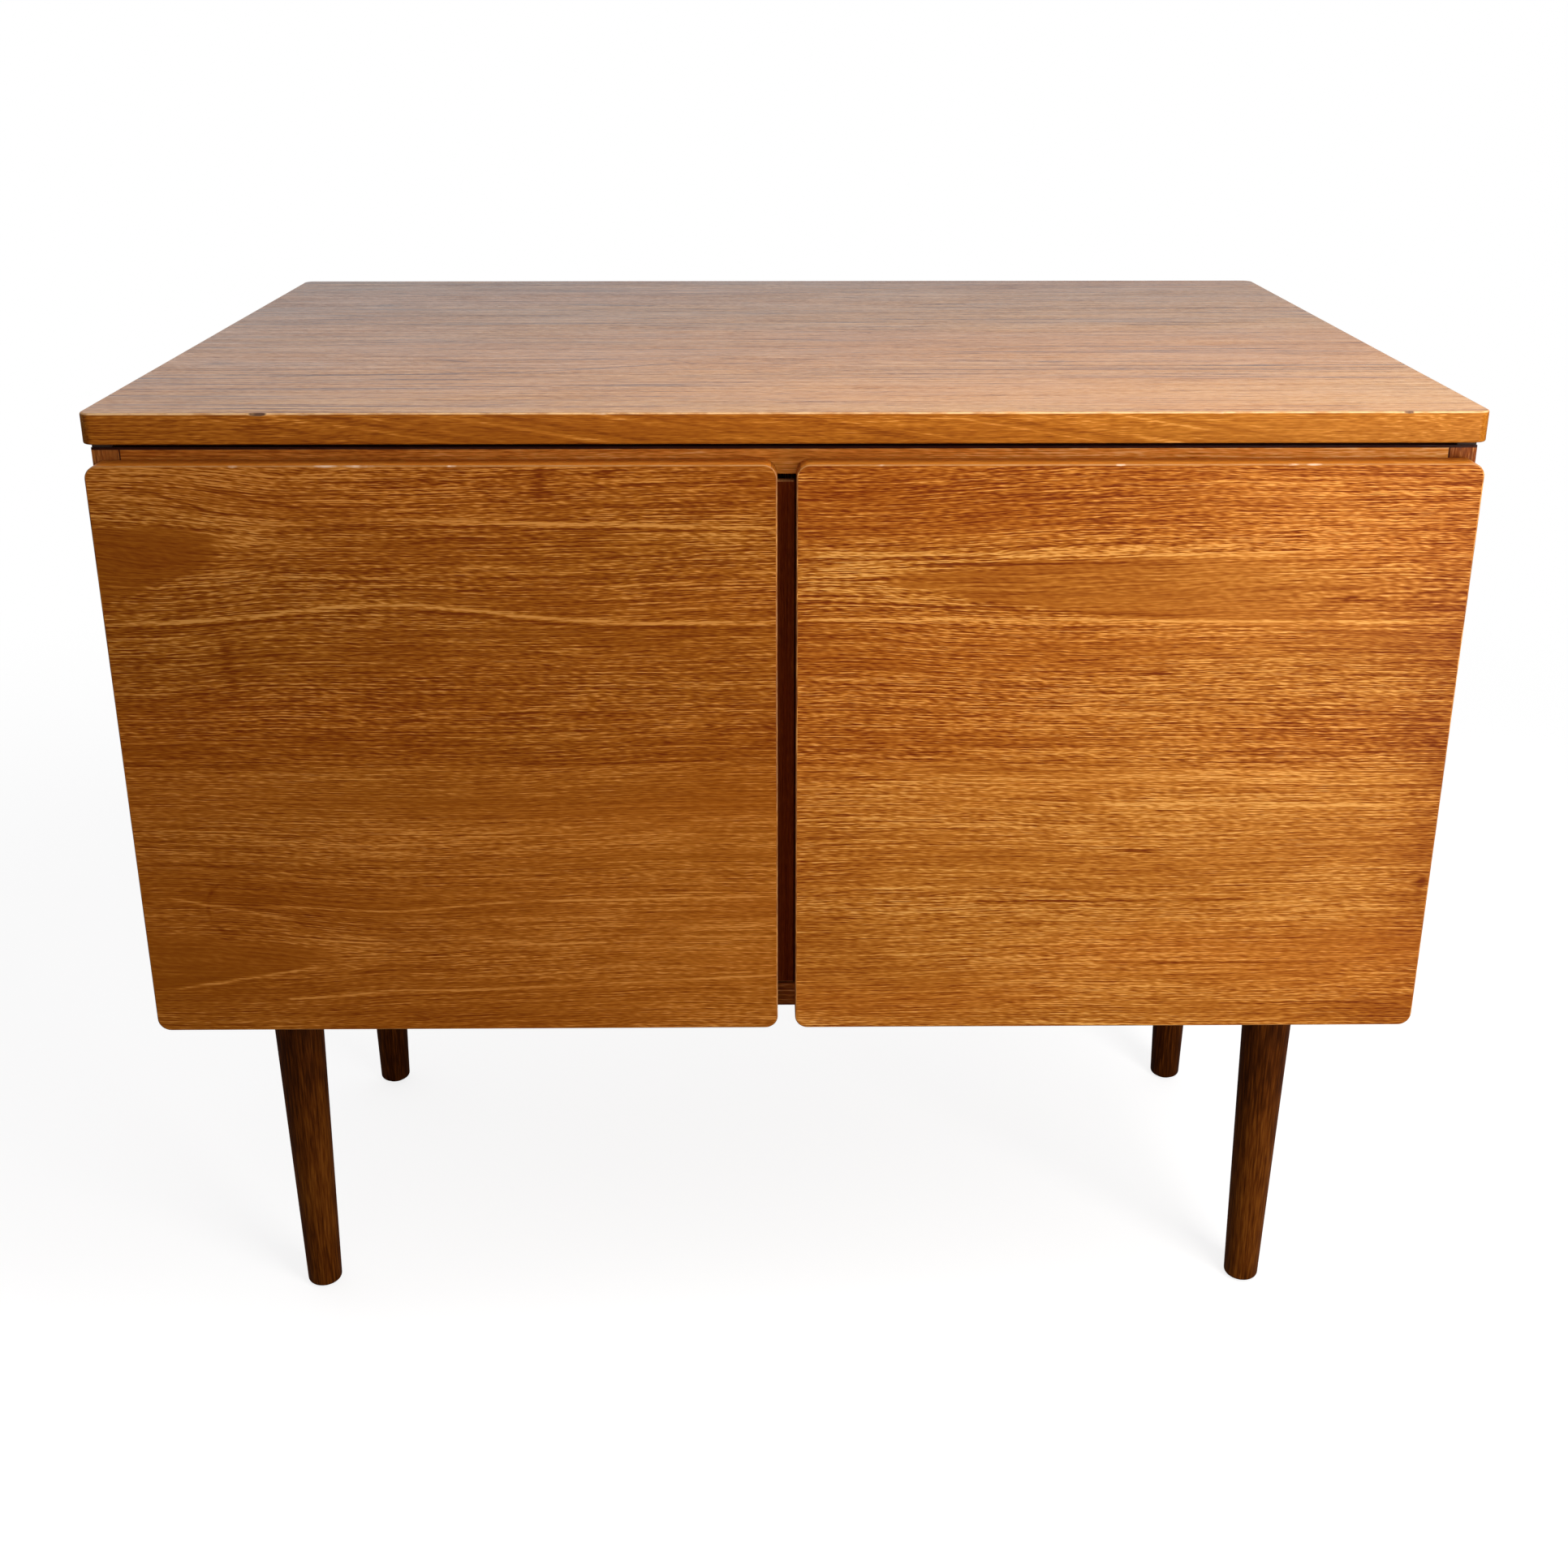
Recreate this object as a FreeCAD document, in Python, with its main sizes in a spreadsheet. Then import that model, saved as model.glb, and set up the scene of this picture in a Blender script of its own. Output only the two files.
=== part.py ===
import FreeCAD, Part
import os
import re
import Sketcher
from FreeCAD import Placement, Rotation, Vector

# Record cabinet: a box of teak boards under a separate top slab, with two
# overlay doors on butt hinges, record dividers inside and four turned legs.
# Millimetres. The origin is on the floor at the middle of the footprint,
# +X to the right as seen from the front, +Y to the back, +Z up.
SIZES = {
    # outline
    "cabinet_width": 800,
    "cabinet_depth": 560,
    "leg_length": 309,
    "carcass_height": 366,
    "board_thickness": 16,
    # top slab, held off the carcass by battens so that a dark line shows under it
    "slab_thickness": 18,
    "slab_corner": 7.5,
    "slab_arris": 1.0,
    "shadow_gap": 5,
    "batten_setback": 12,
    "batten_width": 40,
    # back panel, let into a rebate
    "back_thickness": 6,
    "back_rebate": 8,
    "back_recess": 1,
    "back_play": 0.5,
    # partition and record dividers, housed in grooves
    "partition_setback": 34,
    "divider_thickness": 5,
    "divider_setback": 52,
    "divider_scoop": 38,
    "groove_depth": 5,
    "groove_play": 0.2,
    # doors
    "door_thickness": 16,
    "door_drop": 7,
    "door_top_margin": 7,
    "door_corner": 8,
    "door_arris": 0.8,
    "door_stand_off": 1,
    "finger_gap": 11,
    # strip on the left door that closes the finger gap from behind
    "strip_width": 26,
    "strip_thickness": 6,
    "strip_reach": 9.5,
    "strip_top_gap": 3,
    "strip_foot_gap": 1.5,
    "strip_arris": 0.6,
    # butt hinges
    "hinge_length": 50,
    "hinge_inset": 62,
    "leaf_width": 13,
    "leaf_thickness": 1.2,
    "leaf_gap": 0.2,
    "mortise_play": 0.2,
    "knuckle_radius": 2.5,
    "knuckle_gap": 0.3,
    "knuckle_relief": 0.4,
    "pin_radius": 1.1,
    "pin_play": 0.05,
    # door buffers
    "buffer_radius": 3.5,
    "buffer_play": 0.1,
    "buffer_inset": 30,
    # magnetic catches and their strike plates
    "catch_inset": 60,
    "catch_width": 26,
    "catch_depth": 14,
    "catch_height": 11,
    "catch_setback": 1,
    "ear_length": 10,
    "ear_thickness": 2.5,
    "ear_hole_radius": 1.8,
    "magnet_width": 20,
    "magnet_depth": 8,
    "magnet_height": 5,
    "magnet_proud": 0.5,
    "strike_width": 28,
    "strike_height": 12,
    "strike_thickness": 1.2,
    "strike_corner": 2,
    # legs
    "leg_top_radius": 19,
    "leg_foot_radius": 12.5,
    "leg_foot_bevel": 1.5,
    "leg_side_inset": 48,
    "leg_end_inset": 127,
    "glide_radius": 9,
    "glide_thickness": 1.5,
    # leg plates and hanger bolts
    "plate_width": 62,
    "plate_thickness": 2.5,
    "plate_corner": 8,
    "boss_radius": 7,
    "boss_height": 7,
    "boss_play": 1,
    "bolt_radius": 4,
    "bolt_play": 0.05,
    "bolt_depth": 32,
}

# Levels and planes that several pieces share, as formulas of the sizes.
CARCASS_TOP = "(leg_length + carcass_height)"
SLAB_BASE = f"({CARCASS_TOP} + shadow_gap)"
LEFT = "(0 - cabinet_width / 2)"
FRONT = "(0 - cabinet_depth / 2)"
DOOR_BACK = f"({FRONT} + door_thickness)"
CARCASS_FRONT = f"({DOOR_BACK} + door_stand_off)"
CARCASS_DEPTH = "(cabinet_depth - door_thickness - door_stand_off)"
REBATE_DEPTH = "(back_recess + back_thickness)"
INNER_DEPTH = f"({CARCASS_DEPTH} - {REBATE_DEPTH})"
INNER_WIDTH = "(cabinet_width - 2 * board_thickness)"
INNER_HEIGHT = "(carcass_height - 2 * board_thickness)"
INNER_BASE = "(leg_length + board_thickness)"
INNER_TOP = f"({CARCASS_TOP} - board_thickness)"
HOUSED_HEIGHT = f"({INNER_HEIGHT} + 2 * groove_depth - groove_play)"
DOOR_WIDTH = "((cabinet_width - finger_gap) / 2)"
DOOR_HEIGHT = "(carcass_height + door_drop - door_top_margin)"
DOOR_BASE = "(leg_length - door_drop)"
HINGE_LINE = f"({DOOR_BACK} + door_stand_off / 2)"
HINGE_LEVELS = {
    "lower": "hinge_inset",
    "upper": f"({DOOR_HEIGHT} - hinge_inset)",
}
LEAF_BACK = "(leaf_gap / 2 + leaf_thickness)"
MORTISE_DEPTH = f"({LEAF_BACK} - door_stand_off / 2)"
LEG_LINES = {
    "front": f"({CARCASS_FRONT} + leg_end_inset)",
    "back": "(cabinet_depth / 2 - leg_end_inset)",
}
LEG_AXIS = f"({LEFT} + leg_side_inset)"
DIVIDERS_PER_BAY = 2
KNUCKLES = 3

doc = FreeCAD.newDocument("RecordCabinet")
sheet = doc.addObject("Spreadsheet::Sheet", "Sizes")
for row, (alias, value) in enumerate(SIZES.items(), start=1):
    sheet.set(f"A{row}", alias)
    sheet.set(f"B{row}", str(value))
    sheet.setAlias(f"B{row}", alias)
doc.recompute()

pieces = []


def bind(item, prop, formula):
    """Bind a property to a formula written with the sheet's aliases."""
    item.setExpression(prop, re.sub(r"\b([a-z]+(?:_[a-z]+)+)\b", r"Sizes.\1", str(formula)))


def place(item, x=0, y=0, z=0):
    """Bind an object's position to three formulas."""
    for axis, formula in zip("xyz", (x, y, z)):
        bind(item, f"Placement.Base.{axis}", formula)


def new_body(label):
    """An empty body that becomes the piece called label."""
    body = doc.addObject("PartDesign::Body", label)
    body.Label = label
    pieces.append(body)
    return body


def new_sketch(body, name, role, offset=0):
    """A sketch on one of the body's origin planes, moved along its normal."""
    sketch = body.newObject("Sketcher::SketchObject", f"{body.Label}_{name}")
    plane = next(item for item in body.Origin.OriginFeatures if item.Role == role)
    sketch.AttachmentSupport = [(plane, "")]
    sketch.MapMode = "FlatFace"
    bind(sketch, "AttachmentOffset.Base.z", offset)
    return sketch


def dimension(sketch, kind, where, value, formula):
    """A driving dimension of a sketch, bound to a formula."""
    index = sketch.addConstraint(Sketcher.Constraint(kind, *where, value))
    name = f"size{index}"
    sketch.renameConstraint(index, name)
    bind(sketch, f"Constraints.{name}", formula)


def draw_polygon(sketch, corners):
    """Closed straight outline through the corners, with its joints made coincident."""
    first = sketch.GeometryCount
    count = len(corners)
    for index, corner in enumerate(corners):
        following = corners[(index + 1) % count]
        sketch.addGeometry(Part.LineSegment(Vector(*corner), Vector(*following)), False)
    for index in range(count):
        ends = (first + index, 2, first + (index + 1) % count, 1)
        sketch.addConstraint(Sketcher.Constraint("Coincident", *ends))
    return first


def draw_rectangle(sketch, left, low, width, height):
    """A rectangle whose first corner and sides follow four formulas."""
    first = draw_polygon(sketch, [(1, 1), (9, 1), (9, 9), (1, 9)])
    for side in (0, 2):
        sketch.addConstraint(Sketcher.Constraint("Horizontal", first + side))
        sketch.addConstraint(Sketcher.Constraint("Vertical", first + side + 1))
    dimension(sketch, "DistanceX", (-1, 1, first, 1), 1, left)
    dimension(sketch, "DistanceY", (-1, 1, first, 1), 1, low)
    dimension(sketch, "DistanceX", (first, 1, first, 2), 8, width)
    dimension(sketch, "DistanceY", (first + 1, 1, first + 1, 2), 8, height)


def draw_circle(sketch, across, up, radius):
    """A circle whose centre and radius follow three formulas."""
    circle = sketch.addGeometry(Part.Circle(Vector(1, 1), Vector(0, 0, 1), 1), False)
    dimension(sketch, "DistanceX", (-1, 1, circle, 3), 1, across)
    dimension(sketch, "DistanceY", (-1, 1, circle, 3), 1, up)
    dimension(sketch, "Radius", (circle,), 1, radius)


def pad(body, sketch, length, reverse=False):
    """Raise a sketch into a solid, added to the body."""
    feature = body.newObject("PartDesign::Pad", f"{sketch.Name}_pad")
    feature.Profile = sketch
    feature.Reversed = reverse
    bind(feature, "Length", length)
    doc.recompute()


def pocket(body, sketch, depth, reverse=False):
    """Cut a sketch out of the body, and make sure that it took wood away."""
    before = body.Shape.Volume
    feature = body.newObject("PartDesign::Pocket", f"{sketch.Name}_cut")
    feature.Profile = sketch
    feature.Reversed = reverse
    bind(feature, "Length", depth)
    doc.recompute()
    if not body.Shape.Volume < before:
        raise ValueError(f"{feature.Name} cuts nothing")


def dress_edges(body, kind, prop, size, chosen):
    """Round or bevel the edges of the body's last feature that the test chooses."""
    base = body.Tip
    edges = [f"Edge{n}" for n, edge in enumerate(base.Shape.Edges, start=1) if chosen(edge)]
    feature = body.newObject(f"PartDesign::{kind}", f"{body.Label}_{kind}")
    feature.Base = (base, edges)
    bind(feature, prop, size)
    doc.recompute()


def round_edges(body, radius, chosen):
    """Give the chosen edges a radius."""
    dress_edges(body, "Fillet", "Radius", radius, chosen)


def bevel_edges(body, size, chosen):
    """Take the sharpness off the chosen edges with a small flat."""
    dress_edges(body, "Chamfer", "Size", size, chosen)


def runs_along(axis):
    """A test for straight edges parallel to an axis, given as 0, 1 or 2."""
    def test(edge):
        start, end = edge.Vertexes[0].Point, edge.Vertexes[-1].Point
        return all(abs(start[k] - end[k]) < 1e-6 for k in range(3) if k != axis)
    return test


def lies_at(axis, level):
    """A test for edges that lie flat at a level of an axis, given as 0, 1 or 2."""
    def test(edge):
        box = edge.BoundBox
        low = (box.XMin, box.YMin, box.ZMin)[axis]
        high = (box.XMax, box.YMax, box.ZMax)[axis]
        return abs(low - level) < 1e-6 and abs(high - level) < 1e-6
    return test


def primitive(kind, name, sizes, x=0, y=0, z=0, turn=0):
    """A Part primitive with bound sizes, turned about X and moved into place."""
    item = doc.addObject(f"Part::{kind}", name)
    item.Placement = Placement(Vector(), Rotation(Vector(1, 0, 0), turn))
    for prop, formula in sizes.items():
        bind(item, prop, formula)
    place(item, x, y, z)
    return item


def fuse(name, parts):
    """One object out of several."""
    joined = doc.addObject("Part::MultiFuse", name)
    joined.Shapes = parts
    return joined


def cut(name, base, tools):
    """The base less all of the tools."""
    remainder = doc.addObject("Part::Cut", name)
    remainder.Base = base
    remainder.Tool = fuse(f"{name}_tools", tools) if len(tools) > 1 else tools[0]
    return remainder


def board(label, width, depth, height):
    """A plain board with its left, front and lower corner at its own origin."""
    body = new_body(label)
    sketch = new_sketch(body, "outline", "XY_Plane")
    draw_rectangle(sketch, 0, 0, width, depth)
    pad(body, sketch, height)
    return body


def hinge_housings(body, levels, line, mortise_plane, into_back):
    """Sink both hinges into a board's outer edge: leaf mortises and round knuckle notches."""
    for name, level in levels.items():
        mortise = new_sketch(body, f"{name}_mortise", "XZ_Plane", mortise_plane)
        low = f"({level} - hinge_length / 2 - mortise_play)"
        height = "hinge_length + 2 * mortise_play"
        draw_rectangle(mortise, 0, low, "leaf_width + mortise_play", height)
        pocket(body, mortise, MORTISE_DEPTH, reverse=into_back)
        reach = "(hinge_length / 2 + knuckle_relief)"
        notch = new_sketch(body, f"{name}_notch", "XY_Plane", f"{level} - {reach}")
        draw_circle(notch, 0, line, "knuckle_radius + knuckle_relief")
        pocket(body, notch, f"2 * {reach}", reverse=True)


def make_slab():
    """Top slab, with rounded corners in plan and a softened outline above and below."""
    slab = board("top_slab", "cabinet_width", "cabinet_depth", "slab_thickness")
    round_edges(slab, "slab_corner", runs_along(2))
    low = lies_at(2, 0)
    high = lies_at(2, SIZES["slab_thickness"])
    bevel_edges(slab, "slab_arris", lambda edge: low(edge) or high(edge))
    place(slab, LEFT, FRONT, SLAB_BASE)


def make_battens():
    """Four battens, set back from the carcass faces, that carry the slab."""
    length = "(cabinet_width - 2 * batten_setback)"
    start = f"({LEFT} + batten_setback)"
    near = f"({CARCASS_FRONT} + batten_setback)"
    far = "(cabinet_depth / 2 - batten_setback - batten_width)"
    for label, line in (("batten_front", near), ("batten_back", far)):
        batten = board(label, length, "batten_width", "shadow_gap")
        place(batten, start, line, CARCASS_TOP)
    between = f"({CARCASS_DEPTH} - 2 * batten_setback - 2 * batten_width)"
    left = board("batten_left", "batten_width", between, "shadow_gap")
    place(left, start, f"{near} + batten_width", CARCASS_TOP)


def make_side():
    """Left side panel, rebated for the back and housed for the hinges."""
    side = board("side_panel_left", "board_thickness", CARCASS_DEPTH, "carcass_height")
    rebate = new_sketch(side, "rebate", "XY_Plane")
    draw_rectangle(rebate, "board_thickness - back_rebate", INNER_DEPTH, "back_rebate", REBATE_DEPTH)
    pocket(side, rebate, "carcass_height", reverse=True)
    levels = {name: f"({level} - door_drop)" for name, level in HINGE_LEVELS.items()}
    hinge_housings(side, levels, "0 - door_stand_off / 2", 0, into_back=False)
    place(side, LEFT, CARCASS_FRONT, "leg_length")


def divider_lines(bay_start):
    """Left faces of one bay's dividers, evenly spaced from the bay's left wall."""
    bay = f"(({INNER_WIDTH} - board_thickness) / 2)"
    slot = f"(({bay} - {DIVIDERS_PER_BAY} * divider_thickness) / {DIVIDERS_PER_BAY + 1})"
    steps = range(1, DIVIDERS_PER_BAY + 1)
    return [f"({bay_start} + {step} * {slot} + {step - 1} * divider_thickness)" for step in steps]


def make_cross_panel(label, level, inner_face, upward):
    """Top or bottom panel, with the rebate and grooves of its inner face."""
    panel = board(label, INNER_WIDTH, CARCASS_DEPTH, "board_thickness")
    rebate = new_sketch(panel, "rebate", "XY_Plane", inner_face)
    draw_rectangle(rebate, 0, INNER_DEPTH, INNER_WIDTH, REBATE_DEPTH)
    pocket(panel, rebate, "back_rebate", reverse=upward)
    middle = f"(({INNER_WIDTH} - board_thickness) / 2)"
    grooves = [("partition", middle, "board_thickness", "partition_setback")]
    lines = divider_lines("0") + divider_lines(f"({middle} + board_thickness)")
    for number, line in enumerate(lines, start=1):
        grooves.append((f"divider_{number}", line, "divider_thickness", "divider_setback"))
    for name, line, thickness, setback in grooves:
        groove = new_sketch(panel, name, "XY_Plane", inner_face)
        start = f"{line} - groove_play / 2"
        length = f"{INNER_DEPTH} - {setback} + groove_play"
        draw_rectangle(groove, start, f"{setback} - groove_play", f"{thickness} + groove_play", length)
        pocket(panel, groove, "groove_depth", reverse=upward)
    place(panel, f"{LEFT} + board_thickness", CARCASS_FRONT, level)
    return panel


def make_bottom_recesses(panel):
    """Round recesses under the bottom panel that take the leg plates' bosses."""
    across = "(leg_side_inset - board_thickness)"
    recesses = new_sketch(panel, "recesses", "XY_Plane")
    for x in (across, f"{INNER_WIDTH} - {across}"):
        for y in ("leg_end_inset", f"{CARCASS_DEPTH} - leg_end_inset"):
            draw_circle(recesses, x, y, "boss_radius + boss_play")
    pocket(panel, recesses, "boss_height + boss_play", reverse=True)


def make_partition():
    """Partition between the two bays, standing in the bottom panel's groove."""
    depth = f"({INNER_DEPTH} - partition_setback)"
    partition = board("centre_partition", "board_thickness", depth, HOUSED_HEIGHT)
    line = f"{CARCASS_FRONT} + partition_setback"
    place(partition, "0 - board_thickness / 2", line, f"{INNER_BASE} - groove_depth")


def make_dividers():
    """Left bay's record dividers, with a scooped front edge to reach the sleeves."""
    for number, line in enumerate(divider_lines(f"({LEFT} + board_thickness)"), start=1):
        divider = new_body(f"divider_left_{number}")
        outline = new_sketch(divider, "outline", "YZ_Plane")
        depth = f"({INNER_DEPTH} - divider_setback)"
        corners = [(0, 0), (100, 0), (100, 80), (0, 80)]
        for start, end in zip(corners, corners[1:]):
            outline.addGeometry(Part.LineSegment(Vector(*start), Vector(*end)), False)
        scoop = Part.Arc(Vector(0, 80), Vector(10, 40), Vector(0, 0))
        outline.addGeometry(scoop, False)
        for index in range(2):
            outline.addConstraint(Sketcher.Constraint("Coincident", index, 2, index + 1, 1))
        outline.addConstraint(Sketcher.Constraint("Coincident", 0, 1, -1, 1))
        outline.addConstraint(Sketcher.Constraint("Coincident", 3, 1, 0, 1))
        outline.addConstraint(Sketcher.Constraint("Coincident", 3, 2, 2, 2))
        outline.addConstraint(Sketcher.Constraint("Horizontal", 0))
        outline.addConstraint(Sketcher.Constraint("Vertical", 1))
        outline.addConstraint(Sketcher.Constraint("Horizontal", 2))
        outline.addConstraint(Sketcher.Constraint("PointOnObject", 3, 2, -2))
        dimension(outline, "DistanceX", (0, 1, 0, 2), 100, depth)
        dimension(outline, "DistanceY", (1, 1, 1, 2), 80, HOUSED_HEIGHT)
        half = f"({HOUSED_HEIGHT} / 2)"
        radius = f"({half} * {half} + divider_scoop * divider_scoop) / (2 * divider_scoop)"
        dimension(outline, "Radius", (3,), 85, radius)
        pad(divider, outline, "divider_thickness")
        place(divider, line, f"{CARCASS_FRONT} + divider_setback", f"{INNER_BASE} - groove_depth")


def make_back():
    """Back panel, a little smaller than the rebate that it lies in."""
    width = f"({INNER_WIDTH} + 2 * back_rebate - 2 * back_play)"
    height = f"({INNER_HEIGHT} + 2 * back_rebate - 2 * back_play)"
    back = board("back_panel", width, "back_thickness", height)
    start = f"{LEFT} + board_thickness - back_rebate + back_play"
    line = f"{CARCASS_FRONT} + {INNER_DEPTH}"
    place(back, start, line, f"{INNER_BASE} - back_rebate + back_play")


def make_door():
    """Left door: a plain overlay board with rounded corners and housed hinges."""
    door = new_body("door_left")
    outline = new_sketch(door, "outline", "XZ_Plane")
    draw_rectangle(outline, 0, 0, DOOR_WIDTH, DOOR_HEIGHT)
    pad(door, outline, "door_thickness", reverse=True)
    round_edges(door, "door_corner", runs_along(1))
    face = lies_at(1, 0)
    rear = lies_at(1, SIZES["door_thickness"])
    bevel_edges(door, "door_arris", lambda edge: face(edge) or rear(edge))
    line = "door_thickness + door_stand_off / 2"
    hinge_housings(door, HINGE_LEVELS, line, "0 - door_thickness", into_back=True)
    place(door, LEFT, FRONT, DOOR_BASE)


def make_strip():
    """Dark strip on the left door's back that closes the finger gap from behind."""
    height = f"({INNER_HEIGHT} - strip_top_gap - strip_foot_gap)"
    strip = board("gap_cover_strip", "strip_width", "strip_thickness", height)
    rear = lies_at(1, SIZES["strip_thickness"])
    upright = runs_along(2)
    bevel_edges(strip, "strip_arris", lambda edge: rear(edge) and upright(edge))
    start = "strip_reach - finger_gap / 2 - strip_width"
    place(strip, start, DOOR_BACK, f"{INNER_BASE} + strip_foot_gap")


def make_leaf(label, own, side, level):
    """One leaf of a butt hinge: a plate with its own knuckles, relieved for the other leaf's.

    The axis is the local Z. Side 1 puts the plate behind the axis, side -1 in front.
    """
    step = f"(hinge_length / {KNUCKLES})"
    low = "(0 - hinge_length / 2)"
    sizes = {"Length": "leaf_width", "Width": "leaf_thickness", "Height": "hinge_length"}
    start = "leaf_gap / 2" if side > 0 else f"0 - {LEAF_BACK}"
    plate = primitive("Box", f"{label}_plate", sizes, 0, start, low)
    reliefs = []
    knuckles = []
    for index in range(KNUCKLES):
        if index in own:
            sizes = {"Radius": "knuckle_radius", "Height": f"{step} - knuckle_gap"}
            foot = f"{low} + {index} * {step} + knuckle_gap / 2"
            knuckles.append(primitive("Cylinder", f"{label}_knuckle_{index}", sizes, z=foot))
        else:
            sizes = {"Radius": "knuckle_radius + knuckle_relief", "Height": f"{step} + knuckle_gap"}
            foot = f"{low} + {index} * {step} - knuckle_gap / 2"
            reliefs.append(primitive("Cylinder", f"{label}_relief_{index}", sizes, z=foot))
    cleared = cut(f"{label}_cleared", plate, reliefs)
    sizes = {"Radius": "pin_radius + pin_play", "Height": "hinge_length"}
    bore = primitive("Cylinder", f"{label}_bore", sizes, z=low)
    leaf = cut(label, fuse(f"{label}_solid", [cleared] + knuckles), [bore])
    leaf.Label = label
    place(leaf, LEFT, HINGE_LINE, f"{DOOR_BASE} + {level}")
    pieces.append(leaf)


def make_pin(label, level):
    """Hinge pin, as long as the leaves and driven in flush with the end knuckles."""
    sizes = {"Radius": "pin_radius", "Height": "hinge_length"}
    foot = f"{DOOR_BASE} + {level} - hinge_length / 2"
    pin = primitive("Cylinder", label, sizes, LEFT, HINGE_LINE, foot)
    pieces.append(pin)


def make_hinges():
    """Two butt hinges on the left side, each of two leaves and a pin."""
    outer = [index for index in range(KNUCKLES) if index % 2 == 0]
    inner = [index for index in range(KNUCKLES) if index % 2 == 1]
    for name, level in HINGE_LEVELS.items():
        make_leaf(f"hinge_left_{name}_fixed_leaf", outer, 1, level)
        make_leaf(f"hinge_left_{name}_door_leaf", inner, -1, level)
        make_pin(f"hinge_left_{name}_pin", level)


def make_buffers():
    """Two round buffers on the left door's back that meet the carcass edges."""
    sizes = {"Radius": "buffer_radius", "Height": "door_stand_off - buffer_play"}
    low = "board_thickness / 2"
    high = "carcass_height - (board_thickness + door_top_margin) / 2"
    dots = []
    for number, level in enumerate((low, high), start=1):
        name = f"door_buffers_left_{number}"
        dots.append(primitive("Cylinder", name, sizes, 0, 0, level, turn=-90))
    buffers = fuse("door_buffers_left", dots)
    buffers.Label = "door_buffers_left"
    place(buffers, "0 - buffer_inset", DOOR_BACK, "leg_length")
    pieces.append(buffers)


def make_catch():
    """Left magnetic catch under the top panel: an eared case and the magnet in its front."""
    case = {"Length": "catch_width", "Width": "catch_depth", "Height": "catch_height"}
    ears = {"Length": "catch_width + 2 * ear_length", "Width": "catch_depth", "Height": "ear_thickness"}
    block = primitive("Box", "catch_case", case, "0 - catch_width / 2", 0, "0 - catch_height")
    wings = primitive("Box", "catch_ears", ears, "0 - catch_width / 2 - ear_length", 0, "0 - ear_thickness")
    floor = "(ear_thickness + (catch_height - ear_thickness + magnet_height) / 2)"
    hollow = {"Length": "magnet_width", "Width": "magnet_depth", "Height": "magnet_height"}
    tools = [primitive("Box", "catch_hollow", hollow, "0 - magnet_width / 2", 0, f"0 - {floor}")]
    hole = {"Radius": "ear_hole_radius", "Height": "ear_thickness"}
    for number, side in enumerate((-1, 1), start=1):
        across = f"{side} * (catch_width + ear_length) / 2"
        name = f"catch_hole_{number}"
        tools.append(primitive("Cylinder", name, hole, across, "catch_depth / 2", "0 - ear_thickness"))
    catch = cut("catch_case_left", fuse("catch_solid", [block, wings]), tools)
    catch.Label = "catch_case_left"
    front = f"({CARCASS_FRONT} + catch_setback)"
    place(catch, "0 - catch_inset", front, INNER_TOP)
    pieces.append(catch)
    magnet = board("catch_magnet_left", "magnet_width", "magnet_depth + magnet_proud", "magnet_height")
    place(magnet, "0 - catch_inset - magnet_width / 2", f"{front} - magnet_proud", f"{INNER_TOP} - {floor}")


def make_strike():
    """Left strike plate, on the door's back in front of the magnet."""
    strike = new_body("catch_strike_left")
    outline = new_sketch(strike, "outline", "XZ_Plane")
    draw_rectangle(outline, 0, 0, "strike_width", "strike_height")
    pad(strike, outline, "strike_thickness", reverse=True)
    round_edges(strike, "strike_corner", runs_along(1))
    middle = "(ear_thickness + (catch_height - ear_thickness) / 2)"
    low = f"{INNER_TOP} - {middle} - strike_height / 2"
    place(strike, "0 - catch_inset - strike_width / 2", DOOR_BACK, low)


def make_leg(end, line):
    """One left leg: a turned taper with a bevelled foot, bored for its bolt."""
    leg = new_body(f"leg_{end}_left")
    profile = new_sketch(leg, "profile", "XZ_Plane")
    draw_polygon(profile, [(0, 0), (12, 0), (19, 300), (0, 300)])
    height = "(leg_length - plate_thickness - glide_thickness)"
    profile.addConstraint(Sketcher.Constraint("Coincident", 0, 1, -1, 1))
    profile.addConstraint(Sketcher.Constraint("Horizontal", 0))
    profile.addConstraint(Sketcher.Constraint("Horizontal", 2))
    profile.addConstraint(Sketcher.Constraint("Vertical", 3))
    dimension(profile, "DistanceX", (0, 1, 0, 2), 12, "leg_foot_radius")
    dimension(profile, "DistanceX", (2, 2, 2, 1), 19, "leg_top_radius")
    dimension(profile, "DistanceY", (3, 2, 3, 1), 300, height)
    turned = leg.newObject("PartDesign::Revolution", f"{leg.Label}_turned")
    turned.Profile = profile
    turned.ReferenceAxis = (profile, ["V_Axis"])
    turned.Angle = 360
    doc.recompute()
    bevel_edges(leg, "leg_foot_bevel", lies_at(2, 0))
    bore = new_sketch(leg, "bore", "XY_Plane", height)
    draw_circle(bore, 0, 0, "bolt_radius + bolt_play")
    pocket(leg, bore, "bolt_depth")
    place(leg, LEG_AXIS, line, "glide_thickness")


def make_glide(end, line):
    """Felt glide under one left leg."""
    sizes = {"Radius": "glide_radius", "Height": "glide_thickness"}
    glide = primitive("Cylinder", f"glide_{end}_left", sizes, LEG_AXIS, line)
    pieces.append(glide)


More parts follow.
